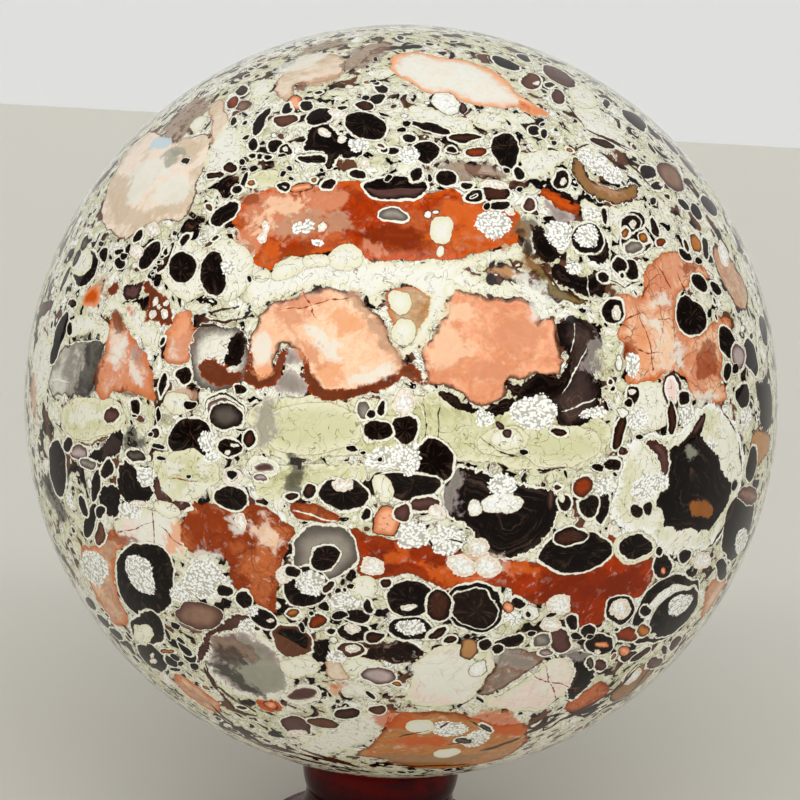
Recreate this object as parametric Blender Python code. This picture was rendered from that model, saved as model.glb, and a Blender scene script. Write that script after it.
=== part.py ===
"""A polished money agate sphere resting in the seat of a small turned, lacquered wooden stand.

Metres, +Z up. The origin is the middle of the stand's underside, so the stand rests on z = 0.
"""

import math

import bmesh
import bpy

MM = 0.001

# The stone
SPHERE_RADIUS = 65 * MM
SPHERE_CENTRE_HEIGHT = 86 * MM
SEAT_GAP = 0.3 * MM

# The stand, a turned piece: foot, cove, waist and a swelling cup whose lip carries the stone
FOOT_RADIUS = 22 * MM
FOOT_BEAD_RADIUS = 2 * MM
BEAD_ARC = (-70, 90)
UNDERSIDE_CHAMFER = 0.25 * MM
COVE_WIDTH = 9 * MM
COVE_DEPTH = 8.2 * MM
COVE_ARC = (248, 180)
WAIST_RADIUS = 13.3 * MM
WAIST_HEIGHT = 12.2 * MM
CUP_RADIUS = 14.2 * MM
CUP_HEIGHT = 17.5 * MM
CUP_SWELL = (2.2 * MM, 6.3 * MM)
CUP_ARC = (-54, 0)
LIP_ARC = (0, 90)
SEAT_OUTER_RADIUS = 12.4 * MM
SEAT_INNER_RADIUS = 9 * MM
HOLLOW_RADIUS = 7.6 * MM
HOLLOW_FLOOR_HEIGHT = 19.4 * MM

# How finely the round shapes are divided
SEGMENTS = 64
SPHERE_RINGS = 32
BEAD_STEPS = 6
COVE_STEPS = 8
CUP_STEPS = 5
LIP_STEPS = 5
SEAT_STEPS = 3
SMOOTH_ANGLE = math.radians(38)


def clear_scene():
    for old in list(bpy.data.objects):
        bpy.data.objects.remove(old)


def finish_material(name, colour, roughness, coat):
    material = bpy.data.materials.new(name)
    material.use_nodes = True
    shader = material.node_tree.nodes["Principled BSDF"]
    shader.inputs["Base Color"].default_value = (*colour, 1.0)
    shader.inputs["Roughness"].default_value = roughness
    shader.inputs["Metallic"].default_value = 0.0
    shader.inputs["Coat Weight"].default_value = coat
    return material


def named_object(name, shape, material):
    mesh = bpy.data.meshes.new(name)
    bmesh.ops.recalc_face_normals(shape, faces=shape.faces)
    shape.to_mesh(mesh)
    shape.free()
    mesh.materials.append(material)
    mesh.shade_smooth()
    mesh.set_sharp_from_angle(angle=SMOOTH_ANGLE)
    made = bpy.data.objects.new(name, mesh)
    bpy.context.scene.collection.objects.link(made)
    return made


def arc(centre, radii, angles, steps):
    """Points (radius, height) on an elliptical arc, from one angle in degrees to the other."""
    start, end = angles
    points = []
    for step in range(steps + 1):
        angle = math.radians(start + (end - start) * step / steps)
        points.append((centre[0] + radii[0] * math.cos(angle), centre[1] + radii[1] * math.sin(angle)))
    return points


def seat_height(radius):
    """Height of the seat at a radius: the stone's own curve, moved out by the gap."""
    return SPHERE_CENTRE_HEIGHT - math.sqrt((SPHERE_RADIUS + SEAT_GAP) ** 2 - radius**2)


def stand_profile():
    """The stand's outline (radius, height), from the underside up its outer side and into the seat."""
    flat_radius = FOOT_RADIUS - FOOT_BEAD_RADIUS
    bead_centre = (flat_radius, FOOT_BEAD_RADIUS + UNDERSIDE_CHAMFER)
    bead = arc(bead_centre, (FOOT_BEAD_RADIUS, FOOT_BEAD_RADIUS), BEAD_ARC, BEAD_STEPS)

    cove_centre = (WAIST_RADIUS + COVE_WIDTH, WAIST_HEIGHT)
    cove = arc(cove_centre, (COVE_WIDTH, COVE_DEPTH), COVE_ARC, COVE_STEPS)
    cup = arc((CUP_RADIUS - CUP_SWELL[0], CUP_HEIGHT), CUP_SWELL, CUP_ARC, CUP_STEPS)

    lip_radii = (CUP_RADIUS - SEAT_OUTER_RADIUS, seat_height(SEAT_OUTER_RADIUS) - CUP_HEIGHT)
    lip = arc((SEAT_OUTER_RADIUS, CUP_HEIGHT), lip_radii, LIP_ARC, LIP_STEPS)[1:]

    seat = []
    for step in range(1, SEAT_STEPS + 1):
        radius = SEAT_OUTER_RADIUS + (SEAT_INNER_RADIUS - SEAT_OUTER_RADIUS) * step / SEAT_STEPS
        seat.append((radius, seat_height(radius)))
    hollow = (HOLLOW_RADIUS, HOLLOW_FLOOR_HEIGHT)
    return [(flat_radius, 0.0), *bead, *cove, *cup, *lip, *seat, hollow]


def turned(profile):
    """A closed solid made by turning the profile about Z, with a flat disc at each end."""
    shape = bmesh.new()
    rings = []
    for radius, height in profile:
        ring = []
        for step in range(SEGMENTS):
            angle = 2 * math.pi * step / SEGMENTS
            ring.append(shape.verts.new((radius * math.cos(angle), radius * math.sin(angle), height)))
        rings.append(ring)
    for lower, upper in zip(rings, rings[1:]):
        for step in range(SEGMENTS):
            after = (step + 1) % SEGMENTS
            shape.faces.new((lower[step], lower[after], upper[after], upper[step]))
    shape.faces.new(list(reversed(rings[0])))
    shape.faces.new(rings[-1])
    return shape


def make_stand():
    material = finish_material("lacquered_wood", (0.105, 0.008, 0.010), 0.22, 0.6)
    return named_object("wood_stand", turned(stand_profile()), material)


def make_sphere():
    shape = bmesh.new()
    bmesh.ops.create_uvsphere(shape, u_segments=SEGMENTS, v_segments=SPHERE_RINGS, radius=SPHERE_RADIUS)
    material = finish_material("polished_agate", (0.52, 0.44, 0.33), 0.06, 0.3)
    sphere = named_object("agate_sphere", shape, material)
    sphere.location.z = SPHERE_CENTRE_HEIGHT
    return sphere


def main():
    clear_scene()
    make_stand()
    make_sphere()


main()
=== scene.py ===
"""The looks of a polished money agate sphere on its small turned stand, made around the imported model."""

import math
from typing import NamedTuple

import bmesh
import bpy
import numpy as np
from bpy.props import FloatProperty, FloatVectorProperty, IntProperty, PointerProperty
from mathutils import Matrix, Vector, noise
from mathutils.kdtree import KDTree


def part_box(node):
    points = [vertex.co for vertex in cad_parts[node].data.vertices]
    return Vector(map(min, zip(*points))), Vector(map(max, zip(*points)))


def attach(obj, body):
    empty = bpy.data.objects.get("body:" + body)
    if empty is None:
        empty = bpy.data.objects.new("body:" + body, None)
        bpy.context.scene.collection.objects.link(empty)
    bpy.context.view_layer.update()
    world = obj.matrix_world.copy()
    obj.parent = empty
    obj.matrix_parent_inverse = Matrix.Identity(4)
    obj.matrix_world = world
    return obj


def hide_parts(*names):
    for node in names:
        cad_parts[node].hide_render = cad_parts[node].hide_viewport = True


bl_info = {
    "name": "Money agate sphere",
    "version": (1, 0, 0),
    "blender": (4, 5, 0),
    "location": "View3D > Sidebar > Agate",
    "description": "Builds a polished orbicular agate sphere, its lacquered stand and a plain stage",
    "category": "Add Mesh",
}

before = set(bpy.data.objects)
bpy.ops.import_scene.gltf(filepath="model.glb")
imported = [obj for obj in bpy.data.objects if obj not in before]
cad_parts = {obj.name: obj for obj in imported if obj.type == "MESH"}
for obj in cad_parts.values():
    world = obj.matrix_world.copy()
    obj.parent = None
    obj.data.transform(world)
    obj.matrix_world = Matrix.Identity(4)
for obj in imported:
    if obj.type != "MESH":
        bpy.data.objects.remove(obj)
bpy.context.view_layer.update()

MM = 0.001
stone_low, stone_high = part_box("agate_sphere")
stand_low, stand_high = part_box("wood_stand")
STONE_CENTRE = (stone_low + stone_high) / 2
STONE_RADIUS = (stone_high.z - stone_low.z) / 2
STONE_MM = STONE_RADIUS / MM
STAND_RADIUS = (stand_high.x - stand_low.x) / 2

# The photograph's view of the stone: pixels of its 800 x 800 frame, angles, the camera's distance in radii,
# and the share of the stone's radius within which places are read
PHOTO_SIDE = 800
PHOTO_STONE = (401.2, 401.3)
PHOTO_RADIUS = 377.0
VIEW_ELEVATION = math.radians(18.0)
VIEW_ROLL = math.radians(3.2)
VIEW_DISTANCE = 7.5
SENSOR = 36.0
PHOTO_FOCUS = PHOTO_RADIUS / math.tan(math.asin(1 / VIEW_DISTANCE))
LIMB = 0.985

# The orbs that may show on one face, and a distance in millimetres that stands for none
SLOTS = 5
FAR = 1000.0


def rgb(red, green, blue):
    """A colour as the screen shows it, 0 to 255, as linear numbers."""
    values = np.array((red, green, blue)) / 255.0
    return np.where(values <= 0.04045, values / 12.92, ((values + 0.055) / 1.055) ** 2.4)


PALETTE = {name: rgb(*shade) for name, shade in {
    "jet": (12, 6, 4), "soot": (30, 18, 13), "umber": (66, 36, 24), "cocoa": (102, 64, 46),
    "plum": (92, 62, 58), "taupe": (142, 112, 92), "smoke": (92, 86, 78), "ash": (150, 144, 132),
    "lilac": (186, 170, 168), "cream": (241, 239, 221), "snow": (252, 252, 246), "moss": (216, 215, 172),
    "fern": (190, 186, 134), "ivory": (232, 228, 196), "rust": (146, 56, 16), "brick": (170, 52, 6),
    "ember": (206, 84, 16), "clay": (208, 118, 68), "salmon": (250, 178, 138), "peach": (250, 208, 170),
    "shell": (246, 228, 208), "amber": (190, 116, 46), "honey": (184, 136, 86), "sand": (212, 190, 160),
    "rose": (246, 218, 206), "ice": (200, 218, 222), "olive": (124, 108, 58), "carrot": (218, 98, 30),
    "oxblood": (124, 38, 9), "mahogany": (108, 54, 30), "blush": (222, 146, 108), "tan": (196, 150, 118),
    "slate": (66, 64, 62), "apricot": (240, 162, 112), "dun": (66, 52, 48), "horn": (150, 110, 68),
    "pearly": (238, 236, 222), "lichen": (158, 160, 142), "bronze": (148, 90, 36),
}.items()}


class Look(NamedTuple):
    """How an orb or a shape is coloured. Widths are in millimetres on the stone.

    A rim above zero is pale and one below zero is dark. Looks of a higher level are painted later.
    """

    core: str
    edge: str
    rim_width: float = 0.36
    depth: float = 1.0
    ring: float = 0.0
    grain: float = 0.0
    streaks: float = 0.6
    split: bool = False
    blur: float = 0.0
    level: int = 1


def bare(core, edge, depth=1.0, **more):
    """A look without a rim."""
    return Look(core, edge, rim_width=0.0, depth=depth, **more)


def soft(core, blur=0.9, streaks=0.0, edge=None, depth=1.0):
    """A look without a rim, with a blurred outline, that lies under the others."""
    return bare(core, edge or core, depth, streaks=streaks, blur=blur, level=0)


LOOKS = {
    "jet": Look("jet", "soot"),
    "bark": Look("umber", "jet"),
    "cocoa": Look("cocoa", "umber"),
    "plum": Look("plum", "umber"),
    "rust": Look("rust", "umber"),
    "smoke": Look("smoke", "soot", depth=2.2),
    "mist": Look("ash", "smoke", depth=2.0),
    "lilac": Look("lilac", "plum", depth=1.2),
    "amber": Look("amber", "umber", depth=0.7),
    "dome": Look("jet", "soot", level=-1),
    "eye": Look("soot", "jet", ring=0.75),
    "ringed": Look("plum", "cream", ring=0.45),
    "two_tone": Look("plum", "jet", split=True),
    "night": Look("jet", "cocoa", split=True),
    "frost": Look("snow", "shell", rim_width=0.12, grain=0.4, streaks=0.0),
    "pearl": Look("snow", "cream", rim_width=-0.10, grain=0.2, streaks=0.0),
    "cream": Look("cream", "ivory", rim_width=-0.04, streaks=0.1),
    "pebble": Look("pearly", "ivory", rim_width=-0.04, depth=1.5, streaks=0.3),
    "lobe": Look("moss", "ivory", rim_width=-0.04, depth=2.0, streaks=0.2, level=0),
    "salmon": Look("salmon", "clay", rim_width=-0.2, streaks=0.3),
    "rosy": Look("rose", "snow", rim_width=-0.6, streaks=0.1),
    "fibre": Look("pearly", "smoke", rim_width=0.16, depth=2.5, streaks=1.0),
    "horn": Look("horn", "jet", rim_width=0.2, depth=0.7, streaks=0.5),
    "dove": Look("taupe", "plum", rim_width=0.12, depth=2.0),
    "bead": Look("jet", "jet", rim_width=0.14, level=2),
    "crystal": bare("snow", "snow", 0.4, grain=1.0, streaks=0.0),
    "bare_jet": bare("jet", "soot"),
    "bare_plum": bare("plum", "soot", streaks=0.3),
    "calm": bare("pearly", "ivory", streaks=0.1, blur=0.1),
    "feather": bare("mahogany", "rust", 0.5, streaks=0.7, blur=0.12),
    "fog": bare("ash", "lilac", streaks=0.7, blur=0.3),
    "flame": bare("ember", "apricot", 1.5, streaks=0.2, blur=0.18),
    "flare": bare("ember", "rust", streaks=0.2),
    "hide": bare("honey", "umber", 0.7, streaks=0.5),
    "olive": bare("olive", "umber", 0.7, streaks=0.8),
    "tiger": bare("bronze", "umber", 0.4),
    "steel": bare("smoke", "soot", 2.5, streaks=0.5),
    "den": bare("dun", "jet", 2.5, streaks=1.0),
    "dusk": bare("jet", "slate", 1.5, streaks=0.3, blur=0.5),
    "line": bare("umber", "umber", level=2),
    "seam": bare("rust", "rust", streaks=0.0, level=2),
    "pale_line": bare("cream", "cream", streaks=0.0, level=2),
    "shade": soft("jet", edge="soot"),
    "haze": soft("ash", edge="lilac"),
    "glow": soft("ember", 0.8, edge="clay"),
    "milk": soft("pearly", 0.7, depth=1.5),
    "carrot": soft("carrot"),
    "oxblood": soft("oxblood"),
    "blush": soft("blush"),
    "mahogany": soft("mahogany", 0.5),
    "sky": soft("ice", 0.3),
    "tan": soft("tan", 0.8),
    "apricot": soft("apricot", 0.8),
    "slate": soft("slate", 0.6, 0.3),
    "lichen": soft("lichen", 0.6, 0.3),
    "dun": soft("dun", 0.6, 0.3),
    "russet": soft("rust", 0.6, 0.2),
    "moorland": soft("horn", 0.7, 0.2),
    "fawn": soft("sand", 0.8, 0.2),
    "dune": soft("peach", 1.2, 0.2),
    "mauve": soft("taupe", 0.8, 0.7, edge="plum"),
    "cloud": soft("peach", 1.2, edge="shell", depth=2.0),
}


class PatchLook(NamedTuple):
    """How a patch of another stone is coloured. Widths are in millimetres on the stone."""

    core: str
    edge: str
    tone: str
    edge_width: float = 0.5
    crackle: float = 0.3  # below zero: veined as the ground is
    mottle: float = 0.5
    layer: int = 0


# For each: core, edge and tone, then the edge's width, crackle, mottle and layer
PATCH_LOOKS = {
    "jasper": PatchLook("brick", "ember", "clay", 1.6, 0.7, 0.55),
    "rusty": PatchLook("rust", "rust", "clay", 1.0, 1.0, 0.7),
    "blushing": PatchLook("blush", "clay", "peach", 1.2, 1.0, 0.7),
    "orange": PatchLook("tan", "clay", "peach", 1.5, 0.4, 0.7),
    "peachy": PatchLook("peach", "cocoa", "salmon", 0.9, 0.05, 0.5, 1),
    "salmony": PatchLook("salmon", "cocoa", "clay", 0.7, 0.1, 0.5, 1),
    "shelly": PatchLook("shell", "cocoa", "sand", 0.35, 0.05, 0.8, 1),
    "sandy": PatchLook("sand", "tan", "shell", 0.5, 0.0, 0.6, 1),
    "snowy": PatchLook("pearly", "apricot", "shell", 2.2, 0.0, 0.3, 1),
    "terracotta": PatchLook("blush", "clay", "shell", 2.0, 0.3, 0.8, 1),
    "honeyed": PatchLook("honey", "clay", "sand", 1.0, 0.05, 0.6),
    "tigery": PatchLook("amber", "rust", "honey", 1.2, 0.1, 0.8),
    "tawny": PatchLook("tan", "umber", "sand", 0.5, 0.0, 0.6, 1),
    "dusky": PatchLook("soot", "umber", "jet", 0.5, 0.3, 0.7),
    "smoky": PatchLook("ash", "smoke", "pearly", 0.5, 0.1, 0.6),
    "misty": PatchLook("taupe", "cocoa", "ash", 0.6, 0.0, 0.9, 1),
    "mossy": PatchLook("moss", "ivory", "fern", 2.0, -1.0, 0.8),
    "milky": PatchLook("pearly", "ivory", "rose", 1.5, 0.25, 0.7),
    "ferrous": PatchLook("brick", "rust", "oxblood", 1.2, 0.5, 0.8),
    "creamy": PatchLook("cream", "snow", "moss", 1.5, -1.0, 0.8),
}

# Uneven dark or pale shapes over the patches and under the orbs, in two layers: a look, and the outline as
# the x and y of its corners in turn, in the photograph's pixels
LOWER_SHAPES = (
    ("calm", 252, 266, 262, 272, 274, 277, 285, 266, 300, 262, 330, 257, 352, 263, 362, 262, 400, 259,
     430, 262, 465, 264, 475, 256, 508, 248, 520, 244, 518, 259, 505, 262, 480, 263, 462, 271, 449, 280,
     443, 292, 446, 308, 438, 325, 424, 342, 412, 354, 404, 364, 398, 357, 412, 342, 425, 325, 429, 308,
     428, 293, 410, 284, 388, 285, 380, 292, 384, 312, 377, 304, 362, 292, 342, 286, 320, 286, 300, 289,
     280, 296, 262, 304, 254, 314, 249, 300, 245, 282),
    ("hide", 478, 268, 500, 265, 521, 268, 525, 277, 512, 282, 495, 275, 484, 273),
    ("olive", 523, 251, 532, 259, 544, 268, 551, 281, 562, 292, 578, 299, 594, 300, 580, 307, 560, 304,
     547, 293, 538, 277, 527, 265),
    ("den", 556, 332, 562, 322, 580, 318, 596, 326, 603, 340, 594, 352, 588, 362, 592, 378, 602, 392,
     602, 412, 590, 424, 570, 430, 560, 424, 552, 410, 540, 400, 545, 392, 562, 380, 567, 365, 565, 345),
    ("fog", 281, 354, 288, 346, 296, 352, 301, 364, 290, 368, 281, 364),
    ("fog", 274, 376, 290, 373, 302, 378, 309, 390, 298, 397, 280, 393, 270, 388),
    ("calm", 104, 300, 114, 300, 122, 304, 140, 300, 148, 326, 162, 330, 160, 345, 152, 348, 138, 335,
     128, 322, 118, 308, 112, 320, 104, 314),
    ("calm", 76, 314, 94, 316, 106, 328, 102, 332, 84, 333, 72, 338, 66, 335, 70, 322),
    ("fibre", 190, 345, 196, 332, 206, 326, 222, 324, 236, 326, 246, 334, 250, 350, 248, 372, 241, 386,
     228, 394, 210, 394, 197, 385, 189, 368),
    ("calm", 520, 156, 535, 150, 560, 149, 575, 152, 572, 163, 560, 166, 549, 172, 532, 183, 522, 176),
    ("calm", 578, 198, 600, 206, 625, 210, 645, 200, 646, 212, 622, 228, 608, 226, 598, 222, 580, 216),
    ("calm", 206, 672, 199, 655, 202, 641, 214, 632, 236, 627, 262, 634, 282, 648, 295, 668, 293, 688,
     280, 700, 256, 700, 232, 694, 215, 683),
    ("calm", 300, 745, 320, 728, 345, 715, 370, 712, 392, 716, 385, 725, 370, 735, 350, 745, 330, 755,
     312, 760),
    ("fog", 545, 200, 556, 206, 568, 212, 577, 218, 570, 223, 557, 221, 549, 212),
    ("dun", 519, 220, 527, 217, 536, 225, 534, 235, 531, 243, 536, 253, 528, 251, 520, 240),
    ("bare_jet", 672, 443, 682, 441, 692, 428, 701, 416, 706, 419, 699, 432, 706, 447, 719, 456, 722, 468,
     728, 480, 733, 480, 731, 497, 724, 512, 714, 527, 700, 534, 684, 527, 678, 533, 668, 527, 661, 530,
     664, 516, 655, 504, 660, 493, 669, 490, 667, 470, 669, 452),
    ("bare_jet", 752, 380, 765, 378, 774, 395, 776, 415, 768, 430, 758, 425, 760, 405),
    ("hide", 752, 432, 762, 429, 773, 432, 770, 452, 762, 462, 753, 474, 748, 458),
    ("calm", 42, 328, 55, 345, 50, 380, 45, 402, 33, 402, 30, 360),
    ("calm", 110, 396, 125, 393, 148, 399, 140, 403, 122, 403, 108, 407),
    ("calm", 225, 120, 240, 130, 245, 150, 238, 165, 222, 172, 208, 170, 205, 160, 215, 140),
    ("calm", 408, 104, 430, 108, 455, 116, 476, 124, 478, 132, 452, 131, 425, 123, 408, 115),
    ("calm", 570, 105, 590, 110, 610, 125, 630, 145, 640, 160, 620, 152, 600, 141, 585, 127),
    ("flame", 518, 97, 530, 106, 550, 112, 549, 115, 530, 113, 514, 108),
    ("calm", 446, 272, 462, 271, 478, 279, 492, 283, 512, 286, 530, 284, 546, 296, 545, 312, 538, 318,
     528, 298, 500, 294, 470, 290, 448, 289),
)
UPPER_SHAPES = (
    ("bare_jet", 500, 371, 506, 382, 520, 384, 535, 379, 545, 374, 550, 383, 560, 374, 566, 360, 568, 380,
     560, 394, 545, 397, 530, 400, 514, 396, 507, 388),
    ("bare_jet", 436, 392, 450, 394, 466, 402, 482, 409, 476, 413, 458, 410, 444, 403),
    ("bare_jet", 486, 409, 498, 401, 514, 397, 520, 402, 514, 411, 500, 416, 490, 414),
    ("bare_jet", 549, 268, 560, 262, 566, 272, 575, 278, 590, 278, 597, 268, 604, 276, 606, 288, 594, 297,
     576, 294, 560, 286, 552, 279),
    ("feather", 299, 348, 305, 352, 311, 370, 320, 389, 338, 391, 368, 382, 392, 374, 403, 374, 403, 382,
     380, 389, 362, 395, 345, 401, 325, 404, 314, 399, 305, 386, 303, 368),
    ("feather", 249, 336, 253, 340, 251, 358, 254, 372, 262, 380, 271, 373, 274, 362, 287, 347, 290, 352,
     280, 366, 279, 380, 266, 390, 250, 388, 242, 380, 247, 362),
    ("feather", 140, 283, 149, 280, 153, 292, 163, 298, 172, 310, 174, 322, 162, 326, 150, 318, 142, 321,
     147, 308, 147, 296),
    ("feather", 106, 291, 115, 284, 120, 285, 118, 293, 110, 298),
    ("bare_jet", 222, 366, 225, 350, 232, 337, 240, 329, 246, 338, 245, 353, 240, 364, 230, 367),
    ("feather", 196, 363, 212, 358, 222, 368, 245, 371, 242, 381, 234, 390, 214, 390, 202, 382),
    ("horn", 572, 161, 578, 157, 584, 161, 587, 172, 595, 182, 607, 188, 622, 190, 633, 181, 639, 187,
     640, 197, 632, 205, 617, 205, 600, 201, 587, 193, 577, 184, 573, 172),
    ("bare_jet", 558, 191, 568, 193, 577, 203, 574, 207, 566, 200),
    ("bare_jet", 599, 230, 607, 240, 609, 254, 603, 264, 594, 263, 586, 255, 597, 248),
    ("jet", 83, 453, 100, 448, 114, 433, 122, 425, 127, 438, 121, 454, 109, 462, 95, 460),
    ("dusk", 127, 429, 134, 424, 137, 433, 145, 439, 146, 446, 137, 450, 127, 457, 124, 445),
    ("jet", 118, 468, 126, 463, 135, 466, 137, 478, 143, 488, 151, 485, 152, 496, 143, 507, 130, 505,
     121, 494, 118, 480),
    ("jet", 100, 490, 110, 485, 119, 489, 122, 498, 123, 514, 118, 521, 106, 517, 100, 505),
    ("plum", 152, 474, 158, 477, 163, 490, 172, 497, 190, 500, 189, 509, 176, 509, 161, 503, 151, 490),
    ("fog", 285, 684, 274, 693, 255, 695, 235, 689, 217, 676, 208, 658, 209, 644, 220, 635, 239, 633,
     259, 640, 277, 653, 286, 669),
    ("plum", 196, 668, 196, 648, 206, 632, 222, 620, 238, 611, 254, 617, 262, 632, 250, 629, 236, 626,
     216, 632, 206, 644, 203, 660),
    ("flare", 539, 190, 553, 192, 568, 198, 578, 206, 579, 217, 566, 211, 553, 204, 544, 198),
    ("bare_jet", 534, 225, 541, 228, 549, 238, 557, 249, 561, 258, 553, 263, 543, 261, 535, 253, 531, 243,
     533, 236),
    ("jet", 563, 655, 577, 650, 592, 655, 598, 666, 592, 678, 582, 692, 572, 702, 567, 694, 574, 676,
     572, 664),
    ("plum", 645, 442, 654, 438, 663, 441, 668, 450, 669, 468, 663, 480, 660, 465, 655, 452),
    ("dusk", 83, 345, 90, 338, 106, 333, 104, 352, 100, 372, 97, 398, 75, 398, 74, 388, 80, 373, 84, 362),
    ("bare_plum", 123, 288, 131, 281, 144, 279, 142, 292, 134, 299, 126, 297),
    ("tiger", 688, 500, 708, 499, 714, 507, 713, 517, 706, 522, 690, 519, 687, 510),
    ("dusk", 42, 478, 51, 474, 57, 490, 62, 504, 71, 521, 63, 525, 55, 514, 48, 498),
    ("feather", 400, 372, 412, 365, 420, 367, 424, 378, 433, 387, 420, 384, 408, 380),
    ("jet", 305, 140, 309, 129, 320, 125, 333, 128, 339, 136, 350, 131, 362, 138, 367, 148, 359, 158,
     346, 160, 337, 154, 333, 168, 323, 167, 323, 153, 312, 150, 303, 151),
    ("jet", 457, 466, 470, 469, 490, 474, 515, 481, 535, 487, 552, 489, 560, 496, 559, 512, 553, 526,
     545, 538, 532, 549, 518, 557, 503, 561, 490, 557, 480, 545, 474, 530, 465, 521, 452, 516, 445, 505,
     446, 488, 450, 474),
    ("dusk", 289, 450, 300, 452, 301, 462, 306, 474, 299, 485, 304, 494, 291, 496, 281, 487, 286, 475,
     291, 464),
)
SHAPE_LAYERS = (LOWER_SHAPES, UPPER_SHAPES)

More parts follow.
